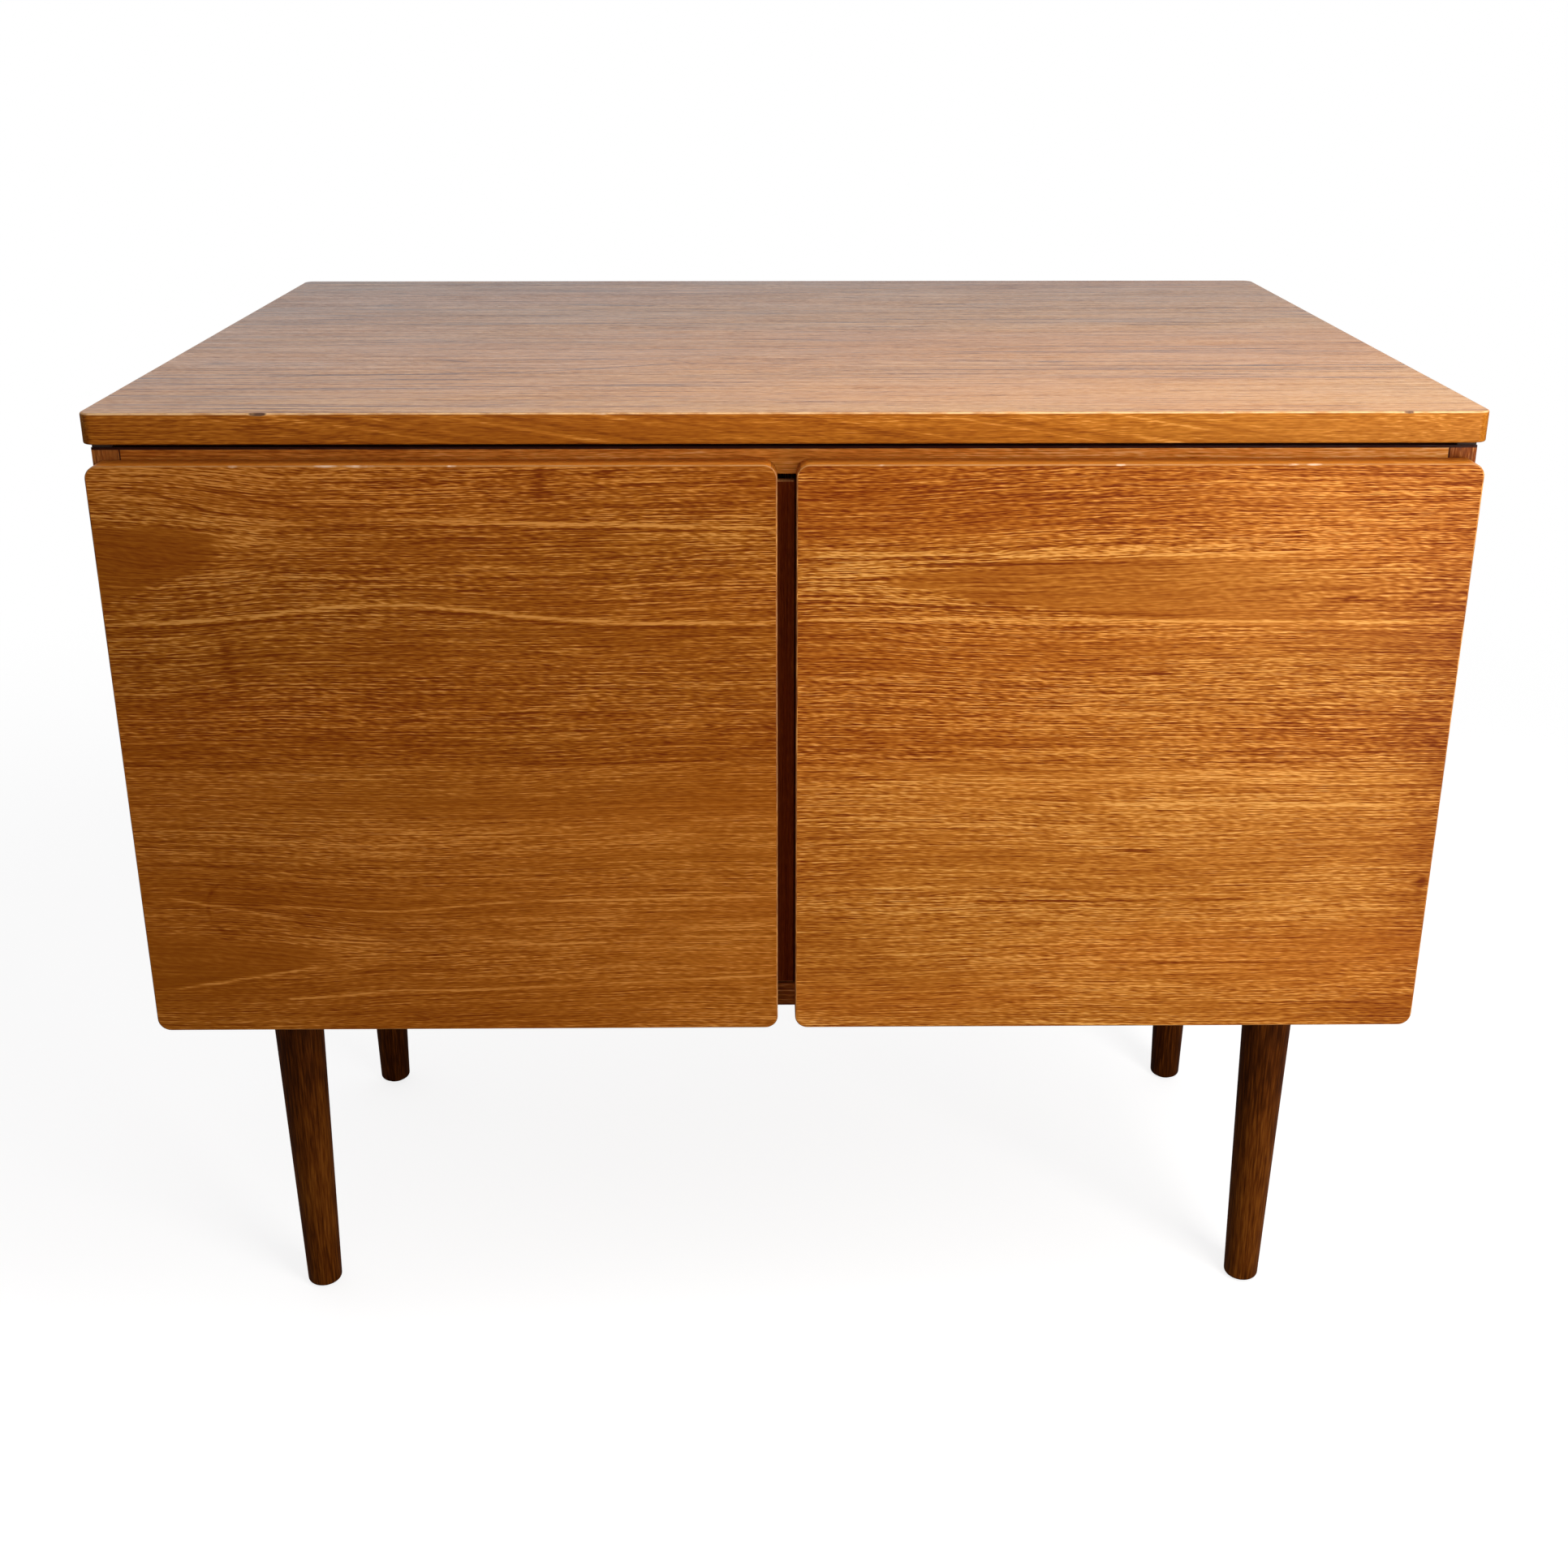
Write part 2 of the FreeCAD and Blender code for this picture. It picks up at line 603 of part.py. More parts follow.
def make_plate(end, line):
    """Leg plate: a square steel plate with a boss that takes the hanger bolt."""
    plate = new_body(f"leg_plate_{end}_left")
    half = "(plate_width / 2)"
    outline = new_sketch(plate, "outline", "XY_Plane")
    draw_rectangle(outline, f"0 - {half}", f"0 - {half}", "plate_width", "plate_width")
    pad(plate, outline, "plate_thickness")
    round_edges(plate, "plate_corner", runs_along(2))
    boss = new_sketch(plate, "boss", "XY_Plane", "plate_thickness")
    draw_circle(boss, 0, 0, "boss_radius")
    pad(plate, boss, "boss_height")
    bore = new_sketch(plate, "bore", "XY_Plane")
    draw_circle(bore, 0, 0, "bolt_radius + bolt_play")
    pocket(plate, bore, "plate_thickness + boss_height", reverse=True)
    place(plate, LEG_AXIS, line, "leg_length - plate_thickness")


def make_bolt(end, line):
    """Hanger bolt that joins one left leg to its plate."""
    length = "bolt_depth + plate_thickness + boss_height"
    sizes = {"Radius": "bolt_radius", "Height": length}
    foot = "leg_length - plate_thickness - bolt_depth"
    bolt = primitive("Cylinder", f"leg_bolt_{end}_left", sizes, LEG_AXIS, line, foot)
    pieces.append(bolt)


def mirror_left_pieces():
    """Right-hand pieces: mirror images of the left ones in the middle plane."""
    for left in [piece for piece in pieces if "left" in piece.Label]:
        right = doc.addObject("Part::Mirroring", left.Label.replace("left", "right"))
        right.Source = left
        right.Normal = Vector(1, 0, 0)
        right.Label = left.Label.replace("left", "right")
        pieces.append(right)


def check_and_write():
    """Stop on a failed object or a bad shape, then write one file for each piece."""
    doc.recompute()
    failed = [item.Label for item in doc.Objects if {"Invalid", "Error"} & set(item.State)]
    bad = [item.Label for item in pieces if item.Shape.isNull() or not item.Shape.isValid()]
    if failed or bad:
        raise ValueError(f"failed objects: {failed}, bad shapes: {bad}")
    os.makedirs("parts", exist_ok=True)
    for piece in pieces:
        piece.Shape.exportStep(f"parts/{piece.Label}.step")


make_slab()
make_battens()
make_side()
make_cross_panel("top_panel", INNER_TOP, 0, upward=True)
bottom_panel = make_cross_panel("bottom_panel", "leg_length", "board_thickness", upward=False)
make_bottom_recesses(bottom_panel)
make_back()
make_partition()
make_dividers()
make_door()
make_strip()
make_hinges()
make_buffers()
make_catch()
make_strike()
for leg_end, leg_line in LEG_LINES.items():
    make_leg(leg_end, leg_line)
    make_glide(leg_end, leg_line)
    make_plate(leg_end, leg_line)
    make_bolt(leg_end, leg_line)
mirror_left_pieces()
check_and_write()
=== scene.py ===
import math

import bpy
import numpy as np
from mathutils import Matrix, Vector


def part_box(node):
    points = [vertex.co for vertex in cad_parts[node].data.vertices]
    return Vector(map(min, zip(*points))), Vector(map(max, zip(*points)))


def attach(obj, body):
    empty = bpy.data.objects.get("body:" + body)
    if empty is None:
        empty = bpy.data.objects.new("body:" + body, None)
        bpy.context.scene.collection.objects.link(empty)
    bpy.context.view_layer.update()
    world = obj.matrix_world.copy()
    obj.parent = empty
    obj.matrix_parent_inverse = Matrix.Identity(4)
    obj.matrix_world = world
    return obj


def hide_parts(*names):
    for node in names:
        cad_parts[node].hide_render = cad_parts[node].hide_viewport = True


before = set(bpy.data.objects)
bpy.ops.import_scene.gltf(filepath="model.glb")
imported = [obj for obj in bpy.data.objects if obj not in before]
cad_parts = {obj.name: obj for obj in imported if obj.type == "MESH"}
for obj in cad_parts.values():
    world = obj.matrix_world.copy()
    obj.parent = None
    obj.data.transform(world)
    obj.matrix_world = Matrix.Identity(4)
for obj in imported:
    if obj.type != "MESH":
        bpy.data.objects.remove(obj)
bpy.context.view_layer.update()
scene = bpy.context.scene
scene.view_settings.view_transform = "Standard"


# Studio. A pale floor that keeps the cabinet's shadow, a white surround, and
# three soft lamps: a tall one like a window at the front right, a weak one
# in front like the rest of the room, and a small one near the ceiling.
class Shade:
    """A node socket that takes part in Python sums: each operation adds its Math node."""

    def __init__(self, tree, socket):
        self.tree = tree
        self.socket = socket

    def node(self, kind, settings, inputs):
        """Add a node of any type: its settings first, then the values or links of its sockets."""
        made = self.tree.nodes.new(kind)
        for key, value in settings.items():
            if key == "stops":
                ramp = made.color_ramp
                while len(ramp.elements) < len(value):
                    ramp.elements.new(0.5)
                for stop, (position, tint) in zip(ramp.elements, value):
                    stop.position = position
                    stop.color = (*tint, 1.0)
            else:
                setattr(made, key, value)
        for key, value in inputs.items():
            if isinstance(value, Shade):
                self.tree.links.new(value.socket, made.inputs[key])
            else:
                made.inputs[key].default_value = value
        return made

    def get(self, kind, settings, inputs, output=0):
        """The output of a new node as a Shade."""
        return Shade(self.tree, self.node(kind, settings, inputs).outputs[output])

    def math(self, operation, *others):
        """A Math node with this as its first value."""
        return self.get("ShaderNodeMath", {"operation": operation}, dict(enumerate((self, *others))))

    def swap(self, operation, other):
        """A Math node with this as its second value."""
        return self.get("ShaderNodeMath", {"operation": operation}, {0: other, 1: self})

    def __add__(self, other):
        return self.math("ADD", other)

    def __radd__(self, other):
        return self.math("ADD", other)

    def __sub__(self, other):
        return self.math("SUBTRACT", other)

    def __rsub__(self, other):
        return self.swap("SUBTRACT", other)

    def __mul__(self, other):
        return self.math("MULTIPLY", other)

    def __rmul__(self, other):
        return self.math("MULTIPLY", other)

    def __truediv__(self, other):
        return self.math("DIVIDE", other)

    def __rtruediv__(self, other):
        return self.swap("DIVIDE", other)

    def ease(self, low, high):
        """0 below low, 1 above high and a smooth step between them; turned round where low > high."""
        start, end = (low, high) if low < high else (high, low)
        step = self.get("ShaderNodeMapRange", {"interpolation_type": "SMOOTHSTEP"},
                        {0: self, 1: start, 2: end})
        return step if low < high else 1 - step

    def noise(self, across, up, through, detail, rough=0.5):
        """Noise from 0 to 1 at a point given by three sums."""
        where = self.get("ShaderNodeCombineXYZ", {}, {0: across, 1: up, 2: through})
        return self.get("ShaderNodeTexNoise", {}, {"Vector": where, "Scale": 1.0, "Detail": detail,
                                                   "Roughness": rough})

    def blend(self, first, second):
        """The first colour where this is 0 and the second where it is 1."""
        return self.get("ShaderNodeMix", {"data_type": "RGBA"}, {0: self, 6: first, 7: second}, 2)

    def split(self):
        """The x, y and z of a position."""
        parts = self.node("ShaderNodeSeparateXYZ", {}, {0: self})
        return [Shade(self.tree, output) for output in parts.outputs]

    def into(self, node, key):
        """Feed one of a node's sockets."""
        self.tree.links.new(self.socket, node.inputs[key])

    def press(self, shader, strength, distance):
        """Give a shader relief, with this as its height."""
        bump = self.get("ShaderNodeBump", {}, {"Strength": strength, "Distance": distance, "Height": self})
        bump.into(shader, "Normal")


def colour(red, green, blue):
    """A colour on the 0 to 255 scale of a paint chart, as the shader's linear values.

    Each part c, over 255, becomes ((c + 0.055) / 1.055)^2.4, or c / 12.92 where it is nearly black.
    """
    nearly_black = 10 / 255
    parts = [part / 255 for part in (red, green, blue)]
    return tuple(part / 12.92 if part <= nearly_black else ((part + 0.055) / 1.055) ** 2.4 for part in parts)


def new_material(name):
    """An empty material, its shader and the object's coordinates as three Shades."""
    material = bpy.data.materials.new(name)
    material.use_nodes = True
    tree = material.node_tree
    shader = tree.nodes["Principled BSDF"]
    position = Shade(tree, None).get("ShaderNodeTexCoord", {}, {}, "Object")
    return material, shader, position.split()


def add_piece(name, vertices, faces, smooth, materials, slots=None):
    """A mesh object at the origin from arrays of points and faces; slots gives each face's material."""
    mesh = bpy.data.meshes.new(name)
    mesh.from_pydata(vertices.tolist(), [], faces)
    for material in materials:
        mesh.materials.append(material)
    mesh.polygons.foreach_set("use_smooth", np.asarray(smooth, bool))
    if slots is not None:
        mesh.polygons.foreach_set("material_index", np.asarray(slots, np.int32))
    mesh.update()
    piece = bpy.data.objects.new(name, mesh)
    scene.collection.objects.link(piece)
    return piece


def dress(node, material):
    """Give a carried-over CAD node its material."""
    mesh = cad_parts[node].data
    mesh.materials.clear()
    mesh.materials.append(material)


# The camera sees the floor pale with the shadow on it near the cabinet, and plain white farther off;
# every other ray meets a plain grey, so that little light comes back up from it.
WHITE = (1, 1, 1, 1)
FLOOR_HALF = 30.0
SHADOW_REACH, WHITE_FROM = 0.9, 2.0
floor_material, floor_shader, (floor_x, floor_y, _) = new_material("studio_floor")
floor_shader.inputs["Base Color"].default_value = (0.18, 0.18, 0.18, 1)
floor_shader.inputs["Roughness"].default_value = 0.9
floor_shader.inputs["Specular IOR Level"].default_value = 0.0
floor_tree = floor_material.node_tree
far = (floor_x * floor_x + floor_y * floor_y).math("SQRT").ease(SHADOW_REACH, WHITE_FROM)
seen = far.get("ShaderNodeLightPath", {}, {}, "Is Camera Ray")
pale = far.get("ShaderNodeBsdfDiffuse", {}, {"Color": (0.5, 0.5, 0.5, 1)})
glow = far.get("ShaderNodeEmission", {}, {"Color": WHITE, "Strength": 0.8})
white = far.get("ShaderNodeEmission", {}, {"Color": WHITE, "Strength": 1.0})
near_look = far.get("ShaderNodeAddShader", {}, {0: pale, 1: glow})
camera_look = far.get("ShaderNodeMixShader", {}, {0: far, 1: near_look, 2: white})
plain_look = Shade(floor_tree, floor_shader.outputs[0])
floor_look = far.get("ShaderNodeMixShader", {}, {0: seen, 1: plain_look, 2: camera_look})
floor_look.into(floor_tree.nodes["Material Output"], "Surface")
floor_points = np.array([(-1, -1, 0), (1, -1, 0), (1, 1, 0), (-1, 1, 0)]) * FLOOR_HALF
floor = add_piece("floor", floor_points, [(0, 1, 2, 3)], [False], [floor_material])

# The surround is white to the camera and in reflections; the light that it gives is a soft grey, weaker
# from the front than from behind.
FRONT_GREY = (0.15, 0.15, 0.155, 1)
BACK_GREY = (0.50, 0.50, 0.51, 1)
world = bpy.data.worlds.new("studio")
world.use_nodes = True
scene.world = world
world_tree = world.node_tree
rays = world_tree.nodes.new("ShaderNodeLightPath")
camera_ray, glossy_ray, clear_ray = (Shade(world_tree, rays.outputs[kind]) for kind in
                                     ("Is Camera Ray", "Is Glossy Ray", "Is Transmission Ray"))
shown = camera_ray.math("MAXIMUM", glossy_ray).math("MAXIMUM", clear_ray)
_, backward, _ = shown.get("ShaderNodeTexCoord", {}, {}, "Generated").split()
surround = shown.blend(backward.ease(-0.4, 0.8).blend(FRONT_GREY, BACK_GREY), WHITE)
surround.into(world_tree.nodes["Background"], "Color")


def stand(thing, right, up, back, place):
    """Put a lamp or a camera at a place, with its right, upward and backward directions given."""
    axes = np.array([right, up, back]).T
    thing.matrix_world = Matrix([[*row, at] for row, at in zip(axes, place)] + [[0, 0, 0, 1]])
    scene.collection.objects.link(thing)


def add_lamp(name, place, target, width, height, watts, tint):
    """An oblong lamp at a place, turned towards a target."""
    data = bpy.data.lights.new(name, "AREA")
    data.shape = "RECTANGLE"
    data.size = width
    data.size_y = height
    data.energy = watts
    data.color = tint
    lamp = bpy.data.objects.new(name, data)
    towards = np.subtract(target, place)
    towards = towards / np.linalg.norm(towards)
    side = np.cross(towards, (0, 0, 1))
    side = side / np.linalg.norm(side)
    lamp.visible_camera = False
    stand(lamp, side, np.cross(side, towards), -towards, place)


add_lamp("window_lamp", place=(0.80, -1.05, 0.75), target=(0.2, -0.2, 0.6), width=0.6, height=1.4,
         watts=10.4, tint=(1.0, 0.97, 0.93))
add_lamp("room_lamp", place=(-0.3, -1.9, 0.8), target=(0.0, -0.2, 0.5), width=1.2, height=1.2,
         watts=2.6, tint=(1.0, 0.98, 0.95))
add_lamp("ceiling_lamp", place=(0.42, -0.62, 1.40), target=(0.1, -0.1, 0.6), width=0.6, height=0.5,
         watts=6.8, tint=(1.0, 0.98, 0.97))

# Camera. 0.9 m above the floor and a metre in front of the doors, a little left
# of the middle, looking down at the top slab.
camera_data = bpy.data.cameras.new("camera")
camera_data.sensor_width = 36.0
camera_data.lens = 42.365
camera_data.shift_y = -0.0445
camera = bpy.data.objects.new("camera", camera_data)
camera_place = (-0.01209, -1.31358, 0.90556)
yaw, pitch, roll = (math.radians(angle) for angle in (0.580, 20.639, 0.025))
forward = np.array([math.sin(yaw) * math.cos(pitch), math.cos(yaw) * math.cos(pitch), -math.sin(pitch)])
level_right = np.array([math.cos(yaw), -math.sin(yaw), 0.0])
level_up = np.cross(level_right, forward)
camera_right = math.cos(roll) * level_right + math.sin(roll) * level_up
camera_up = math.cos(roll) * level_up - math.sin(roll) * level_right
stand(camera, camera_right, camera_up, -forward, camera_place)
scene.camera = camera


# Carcass. Two side panels with upright grain, and a top and a bottom panel
# between them with the grain running left to right, all of veneered board,
# glued and dowelled at the corners and oiled.
X, Y, Z = range(3)
TONE_STOPS = (0.09, 0.245, 0.5, 0.755, 0.91)
RUDDY_TINT = (1.0, 0.90, 0.80, 1)


def teak(name, along, across, tones, seed, streak=1.0, calm=None, bend=None, bands=1.0, rough=0.42, gloss=0.1,
         wander=0.02, extra=None, relief=0.35):
    """Oiled teak whose grain runs along one axis.

    v is the distance across the grain, bent by slow noise, and round flame figures where bend is given.
    Fibres are noise across the bent v, 0.7 to 0.8 mm wide and 5, 25 and 140 mm long, with their ends cut
    on a slant so that they don't stack up like bricks. Growth bands are noise of the bent v alone and set
    how strong the fibres are. The sum picks one of five tones, from the dark pores to the light flecks.
    streak, bands and wander scale the fibres, the bands and the slow bends; calm gives masks, from 0 to
    1, for the heart and the rim of a flame and for quiet wood; extra adds to the sum.
    """
    material, shader, axes = new_material(name)
    u = axes[along]
    v = axes[across]
    w = axes[X + Y + Z - along - across]
    drift = u.noise(u * 2.6 + seed, v * 7, w * 7, 1.0) - 0.5
    bent = (bend(u, v, w) if bend else v) + drift * wander
    bent = bent + (u.noise(u * 15 + seed, bent * 60, w * 60, 1.0) - 0.5) * 0.0022
    growth = u.noise(bent * 55 + seed, w * 55, u * 0.9, 3.0, 0.6) - 0.5
    patch = u.noise(u * 7 + seed, bent * 30, w * 30, 2.0) - 0.5

    def fibres(per_metre, slant, thin, detail=0.0, through=None):
        """Noise with per_metre waves to the metre along the grain and thin waves across it."""
        return u.noise(u * per_metre + bent * slant + seed, bent * thin, through or w * thin, detail)

    short = fibres(190, 430, 1500) - 0.5
    middle = fibres(40, -290, 1350, 1.0) - 0.5
    long = fibres(7, 70, 1200) - 0.5
    flecks = fibres(36, 210, 1350).ease(0.60, 0.74)
    pores = fibres(36, -330, 1400, through=9 - w * 1400).ease(0.60, 0.70)
    heart, rim, quiet = calm(u, v, w) if calm else (None, None, None)
    cover = (1.0 + (growth + patch) * 1.3).math("MAXIMUM", 0.45)
    if heart:
        cover = cover * (1 - heart * 0.62) * (1 - quiet)
    fibre = (short * 1.1 + middle + long + flecks * 0.26 - pores * 0.32) * cover * streak
    tone = 0.5 + fibre + (growth * 0.30 + patch * 0.24) * bands
    if heart:
        tone = tone - heart * 0.08 + rim * 0.12
    if extra:
        tone = tone + extra(u, v, w)
    shown = tone.get("ShaderNodeValToRGB", {"stops": list(zip(TONE_STOPS, tones))}, {0: tone})
    ruddy = u.noise(u * 1.9 + seed, bent * 9, w * 9, 2.0).ease(0.38, 0.62)
    shown = ruddy.get("ShaderNodeMix", {"data_type": "RGBA", "blend_type": "MULTIPLY"},
                      {0: ruddy, 6: shown, 7: RUDDY_TINT}, 2)
    shown.into(shader, "Base Color")
    (rough - fibre * 0.35 + patch * 0.15).into(shader, "Roughness")
    (fibre * 2).press(shader, relief, 0.0002)
    shader.inputs["Specular IOR Level"].default_value = gloss
    return material


def wood_tones(*chart):
    """A wood's five tones, from its dark pores to its light flecks."""
    return [colour(*entry) for entry in chart]


CARCASS_TONES = wood_tones((118, 52, 6), (139, 68, 12), (163, 89, 25), (189, 113, 45), (218, 148, 84))
# Painted light: the rail's tones are a lighter copy of the carcass wood, for light that the slab's overhang
# keeps off it.
RAIL_TONES_PAINTED_LIGHT = wood_tones((176, 98, 26), (202, 122, 38), (226, 148, 58), (240, 170, 84), (248, 196, 126))
GLUE_LINE = colour(56, 18, 3)
# Painted shadow: the dark colour laid along the carcass's top edge, under the slab.
SLAB_SHADOW_PAINT = colour(50, 16, 5)
# Painted light and shade: the left side panel's front end is painted lighter and the right one's darker.
END_PAINTED_LIGHT_AND_SHADE = {"left": colour(204, 128, 58), "right": colour(96, 42, 10)}
SIDE_INNER_FACE = 0.384


def rail_painted_light(u, v, w):
    """Painted light: the rail is painted a little lighter towards the right, as if lit more from that side.
    """
    return u * 0.50 - 0.03


def base_of(material):
    """A material's shader, and what feeds its Base Color."""
    tree = material.node_tree
    shader = tree.nodes["Principled BSDF"]
    return shader, Shade(tree, shader.inputs["Base Color"].links[0].from_socket)


def overlay(material, cover, mask):
    """Lay a colour over a material where mask, a function of the object's x, y and z, is 1."""
    shader, under = base_of(material)
    place = under.get("ShaderNodeTexCoord", {}, {}, "Object").split()
    mask(*place).blend(under, (*cover, 1)).into(shader, "Base Color")
    return material


def joint_line(x, y, z):
    """1 on the glue line between a side panel and the boards between the sides, fading by 0.6 mm off."""
    return (x.math("ABSOLUTE") - SIDE_INNER_FACE).math("ABSOLUTE").ease(0.0006, 0.0002)


def end_grain_painted_light(x, y, z):
    """The side panels' front ends: coarse upright stripes of their solid lipping, with painted light on the
    left end and painted shade on the right.
    """
    stripes = x.noise(x * 420, z * 140, y * 60, 2.0).ease(0.40, 0.60)
    return y.ease(-0.2622, -0.2628) * (0.3 + stripes * 0.4)


def painted_shadow_under_slab(x, y, z):
    """The upper 1.5 mm of the carcass, darkened as a painted shadow so that a black line shows under the
    slab.
    """
    return z.ease(0.6733, 0.6738)


for side, seed in (("left", 3.1), ("right", 11.7)):
    side_teak_with_painted_light = teak(f"side_teak_with_painted_light_{side}", Z, Y, CARCASS_TONES, seed)
    overlay(side_teak_with_painted_light, END_PAINTED_LIGHT_AND_SHADE[side], end_grain_painted_light)
    overlay(side_teak_with_painted_light, GLUE_LINE, joint_line)
    dress(f"side_panel_{side}", overlay(side_teak_with_painted_light, SLAB_SHADOW_PAINT, painted_shadow_under_slab))
rail_teak_with_painted_light = teak("rail_teak_with_painted_light", X, Z, RAIL_TONES_PAINTED_LIGHT, 21.3, streak=0.7, extra=rail_painted_light)
overlay(rail_teak_with_painted_light, GLUE_LINE, joint_line)
dress("top_panel", overlay(rail_teak_with_painted_light, SLAB_SHADOW_PAINT, painted_shadow_under_slab))
dress("bottom_panel", overlay(teak("bottom_teak", X, Z, CARCASS_TONES, 31.9), GLUE_LINE, joint_line))
dress("centre_partition", teak("partition_teak", Z, Y, CARCASS_TONES, 41.2))

# Dividers and back. Thin plywood: four scooped dividers stand in grooves, and
# the back lies in a rebate and is held by small domed pins.
PLY_TONES = wood_tones((134, 84, 40), (152, 98, 50), (170, 114, 62), (186, 130, 76), (202, 148, 92))
divider_ply = teak("divider_ply", Z, Y, PLY_TONES, 51.4, streak=0.6, rough=0.6, gloss=0.2)
back_ply = teak("back_ply", X, Z, PLY_TONES, 61.8, streak=0.6, rough=0.6, gloss=0.2)
for node in ("divider_left_1", "divider_left_2", "divider_right_1", "divider_right_2"):
    dress(node, divider_ply)
dress("back_panel", back_ply)


def metal(name, base, rough, mottle, metallic=1.0):
    """Plain metal, a little cloudy: roughness and tone follow soft noise."""
    material, shader, (x, y, z) = new_material(name)
    cloud = x.noise(x * 260, y * 260, z * 260, 3.0)
    darker = tuple(part * (1 - mottle) for part in base)
    shown = cloud.ease(0.35, 0.65).blend((*darker, 1), (*base, 1))
    shown.into(shader, "Base Color")
    (rough + cloud * 0.2 - 0.1).into(shader, "Roughness")
    shader.inputs["Metallic"].default_value = metallic
    return material


def heads(name, places, radius, rise, slot, materials):
    """Screw or pin heads at places, each a middle, an outward direction and a turn about it.

    Each row of a head is a chord of its disc. At a distance s from the middle the chord is
    2 sqrt(R R - s s) long and the height above the seat is rise (1 - 0.6 (s s + t t) / (R R)). Rows
    inside the slot, whose half width is slot times R, lie lower and take the second material. The
    row's ends fold down under the seat, so that each head is a closed shell.
    """
    s = np.array([-0.98, -0.85, -0.55, -slot, -slot, slot, slot, 0.55, 0.85, 0.98]) * radius
    sunk = np.array([0, 0, 0, 0, 1, 1, 0, 0, 0, 0]) * (0.75 * rise if slot else 0)
    t = np.array([-1, -0.6, 0, 0.6, 1, 1, -1])
    half = np.sqrt(np.maximum(radius ** 2 - s ** 2, 0))
    along = half[:, None] * t[None, :]
    across = np.repeat(s[:, None], len(t), axis=1)
    height = rise * (1 - 0.6 * (along ** 2 + across ** 2) / radius ** 2) - sunk[:, None]
    height[:, -2:] = -rise
    count = along.size
    rows, columns = along.shape
    index = np.arange(count).reshape(rows, columns)
    quads = np.stack([index[:-1], np.roll(index, -1, 1)[:-1], np.roll(index, -1, 1)[1:], index[1:]], -1)
    faces = [tuple(face) for face in quads.reshape(-1, 4).tolist()]
    faces += [tuple(index[0][::-1].tolist()), tuple(index[-1].tolist())]
    slots = [1 if 4 * columns <= number < 5 * columns and number % columns < 4 else 0
             for number in range((rows - 1) * columns)] + [0, 0]
    points, polygons, marks = [], [], []
    for centre, normal, turn in places:
        normal = np.array(normal, float)
        guide = np.array((0, 0, 1.0)) if abs(normal[2]) < 0.5 else np.array((1.0, 0, 0))
        first = np.cross(guide, normal)
        second = np.cross(normal, first)
        run = math.cos(turn) * first + math.sin(turn) * second
        side = math.cos(turn) * second - math.sin(turn) * first
        head = (np.array(centre) + along[..., None] * run + across[..., None] * side
                + height[..., None] * normal).reshape(-1, 3)
        shift = len(points) * count
        points.append(head)
        polygons += [tuple(corner + shift for corner in face) for face in faces]
        marks += slots
    return add_piece(name, np.concatenate(points), polygons, [False] * len(polygons), materials, marks)


brass = metal("brass", colour(206, 168, 96), 0.34, 0.25)
zinc = metal("zinc_steel", colour(176, 176, 172), 0.42, 0.2)
slot_shadow = metal("slot_shadow", colour(46, 38, 30), 0.8, 0.3, 0.0)
BACKWARD = (0, 1, 0)
PIN_INSET = 0.006
back_low, back_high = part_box("back_panel")
pin_x = np.linspace(back_low[X] + PIN_INSET, back_high[X] - PIN_INSET, 8)
pin_z = np.linspace(back_low[Z] + PIN_INSET, back_high[Z] - PIN_INSET, 5)
pin_spots = [(x, z) for x in pin_x for z in (pin_z[0], pin_z[-1])]
pin_spots += [(x, z) for x in (pin_x[0], pin_x[-1]) for z in pin_z[1:-1]]
pin_places = [((x, back_high[Y], z), BACKWARD, 0.0) for x, z in pin_spots]
back_pins = heads("back_pins", pin_places, radius=0.0016, rise=0.0007, slot=0.0, materials=[zinc])
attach(back_pins, "carcass")

# Battens. Dark stained softwood strips, set back from the carcass faces and
# glued down, that hold the slab clear; their dark colour is partly painted
# shadow, so that a black line shows under it.
batten_and_painted_shadow_material, batten_shader, (bx, by, bz) = new_material("dark_batten")
batten_grain = bx.noise(bx * 40, by * 40, bz * 900, 2.0)
batten_grain.blend((*colour(26, 14, 8), 1), (*colour(52, 30, 18), 1)).into(batten_shader, "Base Color")
batten_shader.inputs["Roughness"].default_value = 0.8
for node in ("batten_front", "batten_back", "batten_left", "batten_right"):
    dress(node, batten_and_painted_shadow_material)


# Top slab. Teak veneer on board with a solid teak lipping round its edge,
# corners rounded in plan and the arris worn by use; it rests on the battens.
HOLLOW_RADIUS = 0.0029
AXIS_BEHIND = 0.0005
STATION_GAP = 0.004
WEAR = 0.25
RIPPLES = (5, 11, 23, 47, 90, 160)


